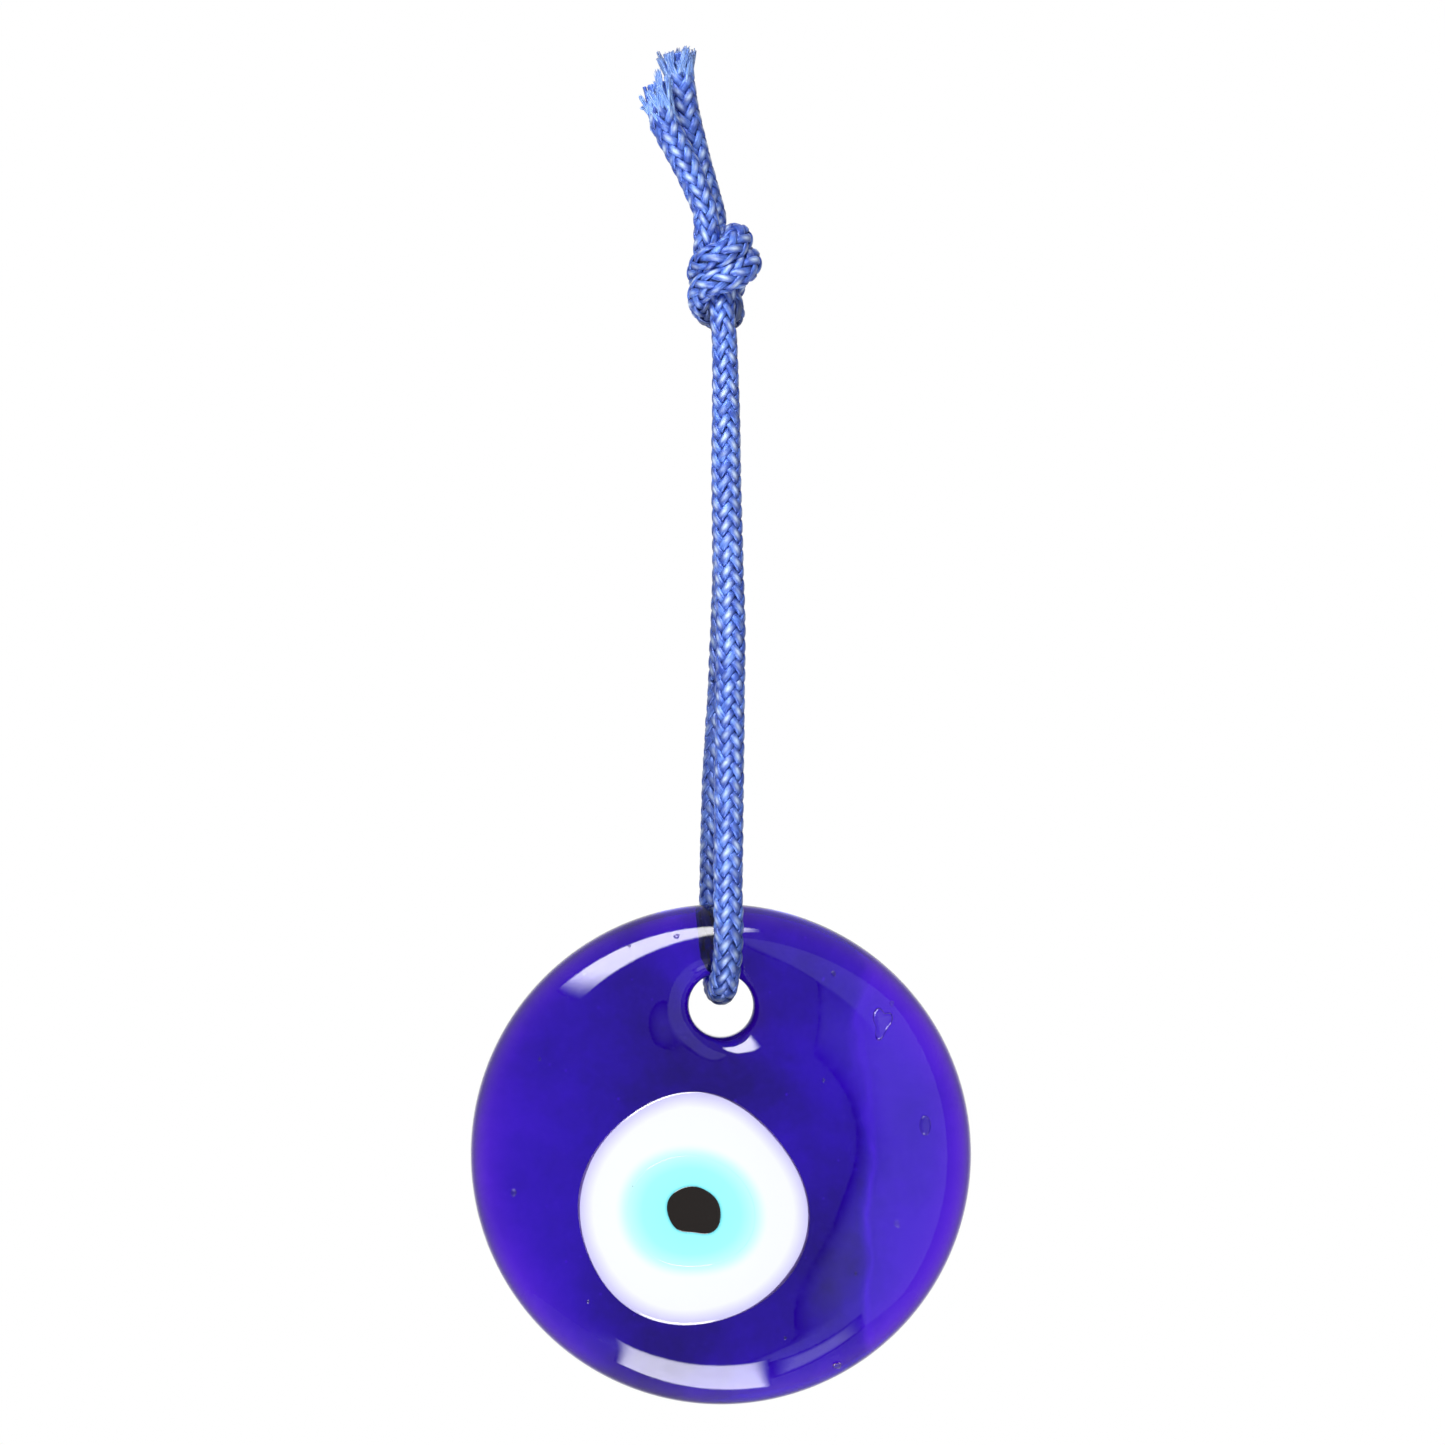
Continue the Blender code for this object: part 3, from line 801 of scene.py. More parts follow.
@dataclass(frozen=True)
class FrayedEnd:
    """The open end of a cut braid, where each yarn has fallen apart into loose filaments."""

    loose: bpy.types.Material
    filaments: int = 22
    thickness_mm: float = 0.19
    taper: float = 0.70
    rows: int = 9
    sides: int = 5
    yarn_reach_mm: tuple[float, float] = (-1.0, 0.5)
    cut_slope_mm: float = 0.0
    reach_mm: float = 0.22
    lean_mm: tuple[float, float] = (0.0, 0.60)
    sway_mm: float = 0.25
    stray_mm: float = 0.05
    # The inner bundles lie this share of the way out to the yarns.
    inner_share: float = 0.45
    # A bundle's half width and half height, and how they grow from its start to its middle and end.
    section_mm: tuple[float, float] = (0.34, 0.16)
    section_growth: tuple[float, float, float] = (0.8, 1.0, 1.3)
    # Shares of the open part, back from its end, where filaments start and where they are half way.
    start_span: tuple[float, float] = (0.80, 1.0)
    middle_at: float = 0.45
    middle_lean_mm: float = 0.10
    # How far right of the cord's middle, as a share of its radius, a slanted cut leaves the end as it is.
    cut_middle: float = 0.2
    singe: float = 0.35
    singe_from: float = 0.80

    def make(self, name: str, lines: np.ndarray, path: np.ndarray, along: np.ndarray, fray_mm: float,
             rng: np.random.Generator) -> bpy.types.Object:
        """Make the tuft: each filament is a curve (1-t)^2 a + 2t(1-t) b + t^2 c along its yarn.

        Point a lies where the yarn comes open, b half way along the open part and c past its end, leaning
        out by an amount that a yarn's filaments share.

        Args:
            name: the piece's name.
            lines: the yarns' middle lines in mm, shaped (yarns, rows, 3).
            path: the cord's middle line in mm.
            along: the distance along it.
            fray_mm: the length of the open part.
            rng: the source of the filaments' differences.

        Returns:
            The piece.
        """
        bundles = np.concatenate([lines, path + self.inner_share * (lines[::2] - path)])
        each = np.repeat(np.arange(len(bundles)), self.filaments)
        count = len(each)
        turn, away = rng.uniform(0.0, TAU, count), np.sqrt(rng.uniform(0.0, 1.0, count))
        start = np.searchsorted(along, along[-1] - fray_mm * rng.uniform(*self.start_span, count))
        middle = np.searchsorted(along, along[-1] - fray_mm * self.middle_at)
        ahead = unit(bundles[:, -1] - bundles[:, -6])
        out = unit(bundles[:, -1] - path[-1])
        side = np.cross(ahead, out)
        wide, high = self.section_mm
        section = (wide * away * np.cos(turn))[:, None] * side[each]
        section = section + (high * away * np.sin(turn))[:, None] * out[each]
        near, half_way, far = (growth * section for growth in self.section_growth)
        a = bundles[each, start] + near
        b = bundles[each, middle] + half_way + self.middle_lean_mm * out[each]
        reach = rng.uniform(*self.yarn_reach_mm, len(bundles))[each]
        reach = reach + rng.uniform(-1, 1, count) * self.reach_mm
        reach = reach + self.cut_slope_mm * (out @ np.array([1.0, 0.0, 0.0]) - self.cut_middle)[each]
        lean = rng.uniform(*self.lean_mm, len(bundles))[each]
        sway = rng.uniform(-self.sway_mm, self.sway_mm, len(bundles))[each]
        c = bundles[each, -1] + reach[:, None] * ahead[each] + lean[:, None] * out[each] + far
        c = c + sway[:, None] * side[each] + rng.normal(0.0, self.stray_mm, (count, 3))
        t = np.linspace(0.0, 1.0, self.rows)[None, :, None]
        curves = (1 - t) ** 2 * a[:, None] + 2 * t * (1 - t) * b[:, None] + t ** 2 * c[:, None]
        way = unit(np.gradient(curves, axis=1))
        # The section's first side is square to a direction that no filament follows.
        first = unit(np.cross(way, np.array([0.31, 0.94, 0.12])))
        second = np.cross(way, first)
        spin = TAU * np.arange(self.sides) / self.sides
        radius = self.thickness_mm / 2 * (1.0 - self.taper * t[..., None] ** 3)
        rings = curves[:, :, None] + radius * (np.cos(spin)[:, None] * first[:, :, None]
                                               + np.sin(spin)[:, None] * second[:, :, None])
        shape = rings.shape[:3]
        number = (FILAMENT_MARK_MM * np.arange(count))[:, None, None]
        marks = [value * np.ones(shape) for value in (fray_mm * t, FILAMENT_ROUND_MM * spin, number)]
        burnt = rng.uniform(0.0, 1.0, count)[:, None, None] * self.singe
        singed = burnt * smooth_step(t, self.singe_from, 1.0) * np.ones(shape)
        # The loose filaments take the cord's painted shade.
        return ring_mesh(name, rings, self.loose, attributes={
            "yarn": np.stack(marks, -1), "singe": singed, "painted_shade": PaintedShade().share(rings)})


@dataclass
class CordRoutes:
    """The cord's routes in mm and the clearances that they use.

    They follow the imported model's, apart from small bows, and a neck and a waist where the strands leave
    the knot.
    """

    radius: float = 1.5
    gap: float = 0.3
    split: float = 34.0
    hang_drop: float = 66.2
    hole_radius: float = 3.2
    disc_thickness: float = 6.6
    face_gap: float = 0.35
    drops: tuple[float, ...] = (0.0, 4.5, 9.0, 14.0, 21.5, 28.0, 33.85)
    front_bow: tuple[float, ...] = (0.36, 0.50, 0.54, 0.56, 0.76, 0.96, 0.95)
    back_bow: tuple[float, ...] = (0.36, 0.46, 0.50, 0.50, 0.60, 0.42, 0.16)
    loop_bow: tuple[float, ...] = (0.95, 0.82, 0.72, 0.74, 0.40, -0.05, -0.45, -0.74, -0.70, -0.45, 0.16)
    # Shares of the way down the loop, from the split to the bend, of its middle and its shoulder.
    middle_at: float = 0.40
    shoulder_at: float = 0.78
    # The strands' neck inside the knot: the pair's middle, and half the strands' distance.
    neck: tuple[tuple[float, ...], ...] = (
        (0.15, 1.0, 5.0, 1.32), (0.15, 0.35, 3.2, 1.48), (0.2, 0.0, 1.5, 1.65),
    )
    waist: tuple[float, ...] = (0.88, 0.88, 0.86, 0.86, 0.91, 0.97, 1.0, 1.0, 1.0, 1.0)
    tail_base: float = 12.7

    @property
    def seat(self) -> float:
        """The height of the cord's middle where the disc hangs on it."""
        return -self.hang_drop + self.hole_radius - self.gap - self.radius

    @property
    def near_y(self) -> float:
        """The strands' distance from the middle plane at the top."""
        return self.radius + self.gap / 2

    @property
    def far_y(self) -> float:
        """The strands' distance from the middle plane beside the disc."""
        return self.disc_thickness / 2 + self.face_gap + self.radius

    def strand_y(self, drop: float) -> float:
        """Give a strand's distance from the middle plane at this drop below the hang point."""
        return self.near_y + (self.far_y - self.near_y) * drop / (-self.seat - self.far_y)

    def upper(self, side: int) -> np.ndarray:
        """Give an upper strand's route from inside the knot down to the split.

        Args:
            side: -1 for the strand in front, 1 for the one behind.

        Returns:
            Points in mm with the cord's thickness as a share, shaped (points, 4).
        """
        bows = self.front_bow if side < 0 else self.back_bow
        rows = [(x, y + side * half, z) for x, y, z, half in self.neck]
        rows += [(bow, side * self.strand_y(drop), -drop) for bow, drop in zip(bows, self.drops)]
        rows[-1] = (rows[-1][0], side * self.strand_y(self.split), -self.split)
        return with_swell(rows, self.waist)

    def lower(self) -> np.ndarray:
        """Give the loop's lower route: down in front, back through the hole and up behind.

        Returns:
            Points in mm with the cord's thickness as a share, shaped (points, 4).
        """
        bend_top = self.seat + self.far_y
        bend = self.far_y * math.sin(math.radians(45))
        split_y = self.strand_y(self.split)
        middle = -self.split + (bend_top + self.split) * self.middle_at
        shoulder = -self.split + (bend_top + self.split) * self.shoulder_at
        front = [
            (-split_y, -self.split), (-(split_y + self.far_y) / 2, middle), (-self.far_y, shoulder),
            (-self.far_y, bend_top), (-bend, bend_top - bend),
        ]
        places = [*front, (0.0, self.seat), *((-y, z) for y, z in reversed(front))]
        return with_swell([(x, y, z) for x, (y, z) in zip(self.loop_bow, places)])


def with_swell(rows: list[tuple[float, float, float]],
               swell: float | tuple[float, ...] = 1.0) -> np.ndarray:
    """Add the cord's thickness to a route.

    Args:
        rows: the points in mm.
        swell: the thickness as a share, one for all points or one for each.

    Returns:
        The points with their thickness, shaped (points, 4).
    """
    points = np.array(rows, float)
    return np.column_stack([points, np.broadcast_to(swell, len(points))])


@dataclass
class HangingLoop:
    """The cord from the knot down to the disc: two upper strands, and the loop that the disc hangs on."""

    routes: CordRoutes
    braid: Braid
    cord: bpy.types.Material
    bend_top_mm: float = 1.5
    bend_end_mm: float = -8.0
    turn_start_mm: float = -36.0
    turn_end_mm: float = -52.0

    def join(self, stretch: BraidedStretch, node: str) -> bpy.types.Object:
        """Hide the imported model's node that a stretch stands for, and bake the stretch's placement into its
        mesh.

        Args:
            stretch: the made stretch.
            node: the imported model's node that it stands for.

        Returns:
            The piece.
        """
        piece = stretch.piece
        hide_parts(node)
        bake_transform(piece)
        return piece

    def build(self) -> list[bpy.types.Object]:
        """Build the two upper strands and the lower loop, with the braid's pattern running on through all.

        Returns:
            The pieces.
        """
        pieces, lengths = [], {}
        for side, end in ((-1, "upper_front"), (1, "upper_back")):
            strand = self.braid.make("braid_" + end, self.routes.upper(side), self.cord, seed=11 + side)
            lengths[side] = strand.length
            pieces.append(self.join(strand, "cord_" + end))
        route = self.routes.lower()
        _, along = smooth_path(route, self.braid.step_mm)
        repeat = self.braid.pitch_mm / self.braid.each_way
        total = lengths[-1] + along[-1] + lengths[1]
        last = round(total / repeat) * repeat - lengths[1]
        loop = self.braid.make("braid_loop_lower", route, self.cord, seed=12, phase_start=lengths[-1],
                               phase_end=last)
        pieces.append(self.join(loop, "cord_loop_lower"))
        return pieces


@dataclass
class OverhandKnot:
    """Both strands tied together in one overhand knot, and the two cut ends that stand above it."""

    routes: CordRoutes
    braid: Braid
    cord: bpy.types.Material
    loose: bpy.types.Material
    fray_front_mm: float = 4.6
    fray_back_mm: float = 3.4
    # The pair's middle in mm, the way from it to the first strand, half the strands' distance and their
    # thickness as a share.
    pair: tuple[tuple[float, ...], ...] = (
        (0.15, 1.00, 5.0, 0.05, -1.0, 0.0, 1.32, 0.88), (0.55, 1.45, 7.0, -0.1, -1.0, 0.15, 1.30, 0.88),
        (1.15, 1.45, 8.8, -0.35, -0.7, 0.6, 1.30, 0.90), (1.70, 0.75, 9.3, -0.42, -0.35, 0.84, 1.28, 0.96),
        (2.10, -0.60, 8.95, -0.36, -0.06, 0.93, 1.24, 1.06), (1.60, -1.90, 8.1, -0.34, 0.0, 0.94, 1.26, 1.01),
        (0.45, -2.60, 7.35, -0.16, 0.0, 0.98, 1.24, 0.93),
        (-0.95, -2.45, 6.95, -0.10, 0.08, 0.98, 1.18, 0.90),
        (-1.85, -1.20, 6.4, -0.05, 0.25, 0.96, 1.18, 0.88), (-2.05, 0.50, 5.2, 0.0, 0.35, 0.94, 1.22, 0.88),
        (-1.30, 1.95, 4.2, 0.1, 0.15, 0.98, 1.22, 0.88), (-0.30, 2.75, 3.7, 0.0, 0.0, 1.0, 1.22, 0.88),
        (0.70, 2.20, 3.7, -0.1, 0.05, 1.0, 1.22, 0.88), (1.10, 1.00, 4.2, 0.0, 0.30, 0.95, 1.22, 0.88),
        (1.10, 0.30, 5.5, 0.35, 0.35, 0.85, 1.20, 0.88), (0.60, -0.45, 7.1, 0.7, 0.1, 0.65, 1.22, 0.88),
        (-0.20, -0.55, 8.8, 0.9, 0.2, 0.3, 1.28, 0.88), (-0.95, -0.25, 10.6, 0.35, 0.93, 0.1, 1.38, 0.88),
    )
    tail_swell: tuple[float, float] = (0.86, 1.08)
    # Each tail's x and height above the knot's top, in mm.
    tail_front: tuple[tuple[float, float], ...] = ((-1.55, 0.0), (-1.95, 1.2), (-2.95, 3.6), (-4.25, 6.2),
                                                   (-5.4, 8.5), (-6.1, 10.7), (-6.7, 12.8))
    tail_back: tuple[tuple[float, float], ...] = ((-0.75, 0.0), (-1.1, 1.2), (-2.0, 4.2), (-2.85, 7.3),
                                                  (-3.6, 10.3), (-4.1, 13.3), (-4.45, 16.1))

    def strand_route(self, sign: int) -> np.ndarray:
        """Give one strand's route through the knot and out along its tail.

        Args:
            sign: 1 for the strand that enters in front and leaves behind, -1 for the other.

        Returns:
            Points in mm with the cord's thickness as a share, shaped (points, 4).
        """
        table = np.array(self.pair)
        way = unit(table[:, 3:6])
        inside = table[:, :3] + sign * way * table[:, 6:7]
        tail, side = (self.tail_back, 1) if sign > 0 else (self.tail_front, -1)
        outside = np.array([(x, side * self.routes.near_y, self.routes.tail_base + rise) for x, rise in tail])
        knot = np.column_stack([inside, table[:, 7]])
        return np.vstack([knot, np.column_stack([outside, np.linspace(*self.tail_swell, len(outside))])])

    def build(self) -> list[bpy.types.Object]:
        """Build both strands through the knot with their open ends.

        Returns:
            The pieces.
        """
        first_end = FrayedEnd(self.loose, singe=0.75)
        second_end = FrayedEnd(self.loose, singe=0.25, cut_slope_mm=1.1)
        plan = (
            (1, "braid_knot_first", ("cord_tail_back", "cord_knot"), self.fray_back_mm, first_end),
            (-1, "braid_knot_second", ("cord_tail_front",), self.fray_front_mm, second_end),
        )
        pieces = []
        for sign, name, nodes, fray_mm, end in plan:
            made = self.braid.make(name, self.strand_route(sign), self.cord, seed=21 + sign, fray_mm=fray_mm,
                                   fray=end)
            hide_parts(*nodes)
            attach(made.piece, Body.KNOT.value)
            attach(made.tuft, Body.KNOT.value)
            pieces += [made.piece, made.tuft]
        return pieces


# ---------------------------------------------------------------- the glass


@dataclass
class GlassDisc:
    """The poured disc of cobalt glass with its hole."""

    glass: bpy.types.Material
    radius: float = 25.0
    thickness: float = 6.6
    rim_front: tuple[float, float] = (5.2, 4.4)
    rim_back: tuple[float, float] = (2.4, 2.2)
    hole_radius: float = 3.2
    hole_z: float = -66.2
    centre_z: float = -81.2
    lip: float = 2.0
    lip_depth: float = 1.43
    lip_spread: float = 0.70
    lip_spread_turn: float = -0.75
    dome: float = 0.22
    # Distances in from the rim and the hole where the dome and the waves reach their full height.
    calm: tuple[float, float] = (12.0, 7.0)
    # Two waves of the poured surface, each with its h, a, b and c: h sin(a x + b sin(c z)) and
    # h sin(a z + b x + c).
    first_wave: tuple[float, ...] = (0.030, 0.31, 0.9, 0.16)
    second_wave: tuple[float, ...] = (0.022, 0.27, 0.11, 1.3)
    back_wave: float = 0.8
    columns: int = 384
    rows: tuple[int, int, int] = (26, 50, 34)
    # The most of the way from the hole to the rim that the lip's rows and the rim's rows may take.
    row_shares: tuple[float, float] = (0.38, 0.60)

    def spread(self, reach: np.ndarray) -> np.ndarray:
        """Space the rows between the hole and the rim, closest at both edges.

        The lip's and the rim's rows lie at w (1 - cos a) from their edge, for equal steps of a, so that they
        are even round each curve. The rows between are evenly spaced.

        Args:
            reach: the way from the hole to the rim at each column, in mm.

        Returns:
            Distances from the hole's edge, shaped (rows, columns).
        """
        lip_rows, middle_rows, rim_rows = self.rows
        lip = np.minimum(self.lip, self.row_shares[0] * reach)
        rim = np.minimum(self.rim_front[0], self.row_shares[1] * reach)
        lip_turn = np.linspace(0.0, TAU / 4, lip_rows, endpoint=False)[:, None]
        rim_turn = np.linspace(TAU / 4, 0.0, rim_rows)[:, None]
        inner = lip * (1 - np.cos(lip_turn))
        share = np.linspace(0.0, 1.0, middle_rows, endpoint=False)[:, None]
        between = lip + (reach - rim - lip) * share
        outer = reach - rim * (1 - np.cos(rim_turn))
        return np.vstack([inner, between, outer])

    def face(self, x: np.ndarray, z: np.ndarray, front: bool) -> np.ndarray:
        """Give a face's y at these places: flat, with a quarter ellipse down to the rim and one to the hole.

        Args:
            x: places in mm.
            z: places in mm.
            front: the front face, or the back one.

        Returns:
            The surface's y in mm.
        """
        from_rim = self.radius - np.hypot(x, z - self.centre_z)
        from_hole = np.hypot(x, z - self.hole_z) - self.hole_radius
        width, depth = self.rim_front if front else self.rim_back
        rim_light_share = np.clip(1 - from_rim / width, 0.0, 1.0)
        turn = np.arctan2(z - self.hole_z, x)
        size = 1.0 + self.lip_spread * np.clip(np.cos(turn - self.lip_spread_turn), 0.0, 1.0) ** 2
        lip_share = np.clip(1 - from_hole / (self.lip * size), 0.0, 1.0)
        drop = depth * (1 - np.sqrt(1 - rim_light_share ** 2))
        drop = drop + self.lip_depth * size * (1 - np.sqrt(1 - lip_share ** 2))
        inside = smooth_step(from_rim, 0.0, self.calm[0]) * smooth_step(from_hole, 0.0, self.calm[1])
        h, a, b, c = self.first_wave
        wave = h * np.sin(x * a + b * np.sin(z * c))
        h, a, b, c = self.second_wave
        wave = wave + h * np.sin(z * a + x * b + c)
        if front:
            return -self.thickness / 2 + drop - inside * (self.dome + wave)
        return self.thickness / 2 - drop - inside * wave * self.back_wave

    def build(self) -> list[bpy.types.Object]:
        """Build the disc as one ring-shaped surface: out along the front from the hole, back along the back.

        Returns:
            The piece, alone in a list.
        """
        turn = np.linspace(0.0, TAU, self.columns, endpoint=False)
        offset = self.hole_z - self.centre_z
        rise = offset * np.sin(turn)
        reach = -rise + np.sqrt(rise ** 2 - offset ** 2 + self.radius ** 2) - self.hole_radius
        away = self.hole_radius + self.spread(reach)
        x = away * np.cos(turn)
        z = self.hole_z + away * np.sin(turn)
        front = np.stack([x, self.face(x, z, True), z], -1)
        back = np.stack([x, self.face(x, z, False), z], -1)
        rings = np.concatenate([front, back[-2::-1]])[None]
        rim = self.radius - np.hypot(rings[..., 0], rings[..., 2] - self.centre_z)
        piece = ring_mesh("poured_disc", rings, self.glass, wrap=True, attributes={"rim": rim})
        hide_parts("glass_disc")
        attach(piece, Body.DISC.value)
        return [piece]


@dataclass
class PourBlisters:
    """Small blisters that air has raised in the front of the pour, each a thin skin over an air gap."""

    disc: GlassDisc
    skin_gap: float = 0.03
    columns: int = 48
    rows: int = 9
    # The share of the way out where its rows start, its edge's height and the phase of its twofold wave.
    middle_share: float = 0.06
    step: float = 0.02
    oval_phase: float = 1.2
    # Each one's middle x and z, half width and half height, turn in degrees, threefold and twofold share,
    # and rise.
    table: tuple[tuple[float, ...], ...] = (
        (16.0, -67.9, 0.85, 1.45, -14.0, 0.26, 0.10, 0.17), (20.3, -78.1, 0.55, 1.00, -9.0, 0.0, 0.12, 0.12),
        (17.0, -66.0, 0.20, 0.26, 0.0, 0.1, 0.0, 0.04), (11.2, -63.0, 0.22, 0.30, 20.0, 0.1, 0.0, 0.04),
        (10.2, -73.6, 0.18, 0.18, 0.0, 0.0, 0.0, 0.04), (17.5, -87.9, 0.24, 0.34, 35.0, 0.1, 0.0, 0.05),
        (-20.6, -84.8, 0.30, 0.34, 0.0, 0.1, 0.0, 0.05), (11.6, -102.1, 0.42, 0.36, 20.0, 0.1, 0.1, 0.30),
        (-4.4, -59.3, 0.30, 0.20, 15.0, 0.1, 0.0, 0.14), (-9.1, -60.3, 0.14, 0.14, 0.0, 0.0, 0.0, 0.09),
        (-13.2, -95.6, 0.16, 0.16, 0.0, 0.0, 0.0, 0.03), (6.4, -99.2, 0.15, 0.15, 0.0, 0.0, 0.0, 0.03),
        (-18.0, -71.5, 0.15, 0.18, 0.0, 0.0, 0.0, 0.03), (13.4, -92.8, 0.15, 0.20, 0.0, 0.0, 0.0, 0.03),
    )

    def build(self) -> list[bpy.types.Object]:
        """Build all blisters as one piece: each rises as h (1 - t^4) from a wavy oval outline on the face.

        Returns:
            The piece, alone in a list.
        """
        rows = np.array(self.table)[:, None, None, :]
        spin = np.linspace(0.0, TAU, self.columns, endpoint=False)[None, None, :]
        front = np.linspace(self.middle_share, 1.0, self.rows)
        share = np.concatenate([front, front[::-1]])[None, :, None]
        is_front = (np.arange(2 * self.rows) < self.rows)[None, :, None]
        threefold = rows[..., 5] * np.cos(3 * spin - TAU / 4)
        wave = 1 + threefold + rows[..., 6] * np.cos(2 * spin + self.oval_phase)
        right = share * wave * rows[..., 2] * np.cos(spin)
        up = share * wave * rows[..., 3] * np.sin(spin)
        turn = np.radians(rows[..., 4])
        x = rows[..., 0] + right * np.cos(turn) - up * np.sin(turn)
        z = rows[..., 1] + right * np.sin(turn) + up * np.cos(turn)
        rise = np.where(is_front, rows[..., 7] * (1 - share ** 4) + self.step, 0.0)
        y = self.disc.face(x, z, True) - self.skin_gap - rise
        rim = self.disc.radius - np.hypot(x, z - self.disc.centre_z)
        piece = ring_mesh("pour_blisters", np.stack([x, y, z], -1), self.disc.glass, attributes={"rim": rim})
        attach(piece, Body.DISC.value)
        return [piece]


@dataclass
class FusedDrop:
    """One flat drop of opaque glass: a wavy round outline, a slightly domed front and a rounded underside."""

    name: str
    node: str
    slot: Slot
    finish: bpy.types.Material
    centre: tuple[float, float]
    diameter: float
    waves: tuple[tuple[int, float, float], ...]
    front_y: float
    depth: float
    dome: float
    roll: float = 0.35
    # The edge's drop as a share of its roll, and the angles where the front's and the edge's rows start.
    roll_drop: float = 0.6
    first_turns: tuple[float, float] = (0.02, 0.1)
    # The underside from its edge to its middle: shares of the outline, and of the depth.
    back_shares: tuple[float, float] = (0.94, 0.03)
    back_depths: tuple[float, float] = (0.75, 1.0)
    columns: int = 240
    rows: int = 46
    roll_rows: int = 10
    back_rows: int = 8
    above: FusedDrop | None = None

    def outline(self, angle: np.ndarray) -> np.ndarray:
        """Give the outline's radius at these angles: d/2 (1 + the sum of h cos(n a - phase))."""
        swell = sum(h * np.cos(n * angle - math.radians(p)) for n, h, p in self.waves)
        return self.diameter / 2 * (1 + swell)

    def share_at(self, x: np.ndarray, z: np.ndarray) -> np.ndarray:
        """Give how far these places lie from the drop's middle, as a share of the way to its outline."""
        right, up = x - self.centre[0], z - self.centre[1]
        return np.hypot(right, up) / self.outline(np.arctan2(up, right))

    def build(self) -> bpy.types.Object:
        """Build the drop: rings of its outline, shrunk towards its middle in front and behind.

        The front is y = -dome (1 - t^2), and it rolls over at the edge along a quarter circle.

        Returns:
            The piece.
        """
        angle = np.linspace(0.0, TAU, self.columns, endpoint=False)
        outline = self.outline(angle)
        share = np.sin(np.linspace(self.first_turns[0], TAU / 4, self.rows))
        roll = self.roll / (self.diameter / 2)
        roll_turn = np.linspace(self.first_turns[1], TAU / 4, self.roll_rows)
        front_share = np.concatenate([share * (1 - roll), 1 - roll + roll * np.sin(roll_turn)])
        front_y = self.front_y + self.dome * front_share ** 2
        front_y[self.rows:] += self.roll * (1 - np.cos(roll_turn)) * self.roll_drop
        back_share = np.linspace(*self.back_shares, self.back_rows)
        back_y = self.front_y + self.depth * np.linspace(*self.back_depths, self.back_rows)
        shares = np.concatenate([front_share, back_share])[:, None]
        y = np.concatenate([front_y, back_y])[:, None]
        x = self.centre[0] + shares * outline * np.cos(angle)
        z = self.centre[1] + shares * outline * np.sin(angle)
        rings = np.stack([x, np.broadcast_to(y, x.shape), z], -1)[None]
        marks = {"edge": np.broadcast_to(shares, x.shape)[None]}
        if self.above is not None:
            marks["next_drop"] = self.above.share_at(x, z)[None]
        piece = ring_mesh(self.name, rings, self.finish, attributes=marks)
        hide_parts(self.node)
        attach(piece, Body.DISC.value)
        return piece


@dataclass
class FusedEye:
    """The white, pale blue and black drops in the front of the disc."""

    white: bpy.types.Material
    pale_blue: bpy.types.Material
    black: bpy.types.Material
    centre: tuple[float, float] = (-2.8, -86.55)
    face_y: float = -3.3

    def build(self) -> list[bpy.types.Object]:
        """Build the three drops, each a little proud of the one below.

        Returns:
            The pieces, from the white one up.
        """
        x, z = self.centre
        pupil = FusedDrop("black_drop", "pupil_drop", Slot.BLACK, self.black, (x + 0.13, z), 5.12,
                          ((2, 0.089, -40.0), (3, 0.028, -105.0), (4, 0.024, -168.0), (5, 0.018, 96.0)),
                          self.face_y - 0.52, 0.6, 0.04, roll=0.10, columns=160, rows=30)
        iris = FusedDrop("pale_blue_drop", "iris_drop", Slot.PALE_BLUE, self.pale_blue, (x - 0.15, z - 0.12),
                         11.92, ((2, 0.070, -17.5), (3, 0.012, -63.0), (4, 0.008, -127.0)),
                         self.face_y - 0.47, 0.8, 0.06, roll=0.12, above=pupil)
        white = FusedDrop("opal_white_drop", "white_drop", Slot.WHITE, self.white, (x, z), 22.94,
                          ((2, 0.007, -132.0), (3, 0.017, -59.0), (4, 0.014, -48.0), (5, 0.005, 87.0)),
                          self.face_y - 0.42, 1.9, 0.16, above=iris)
        return [drop.build() for drop in (white, iris, pupil)]


# ---------------------------------------------------------------- the studio


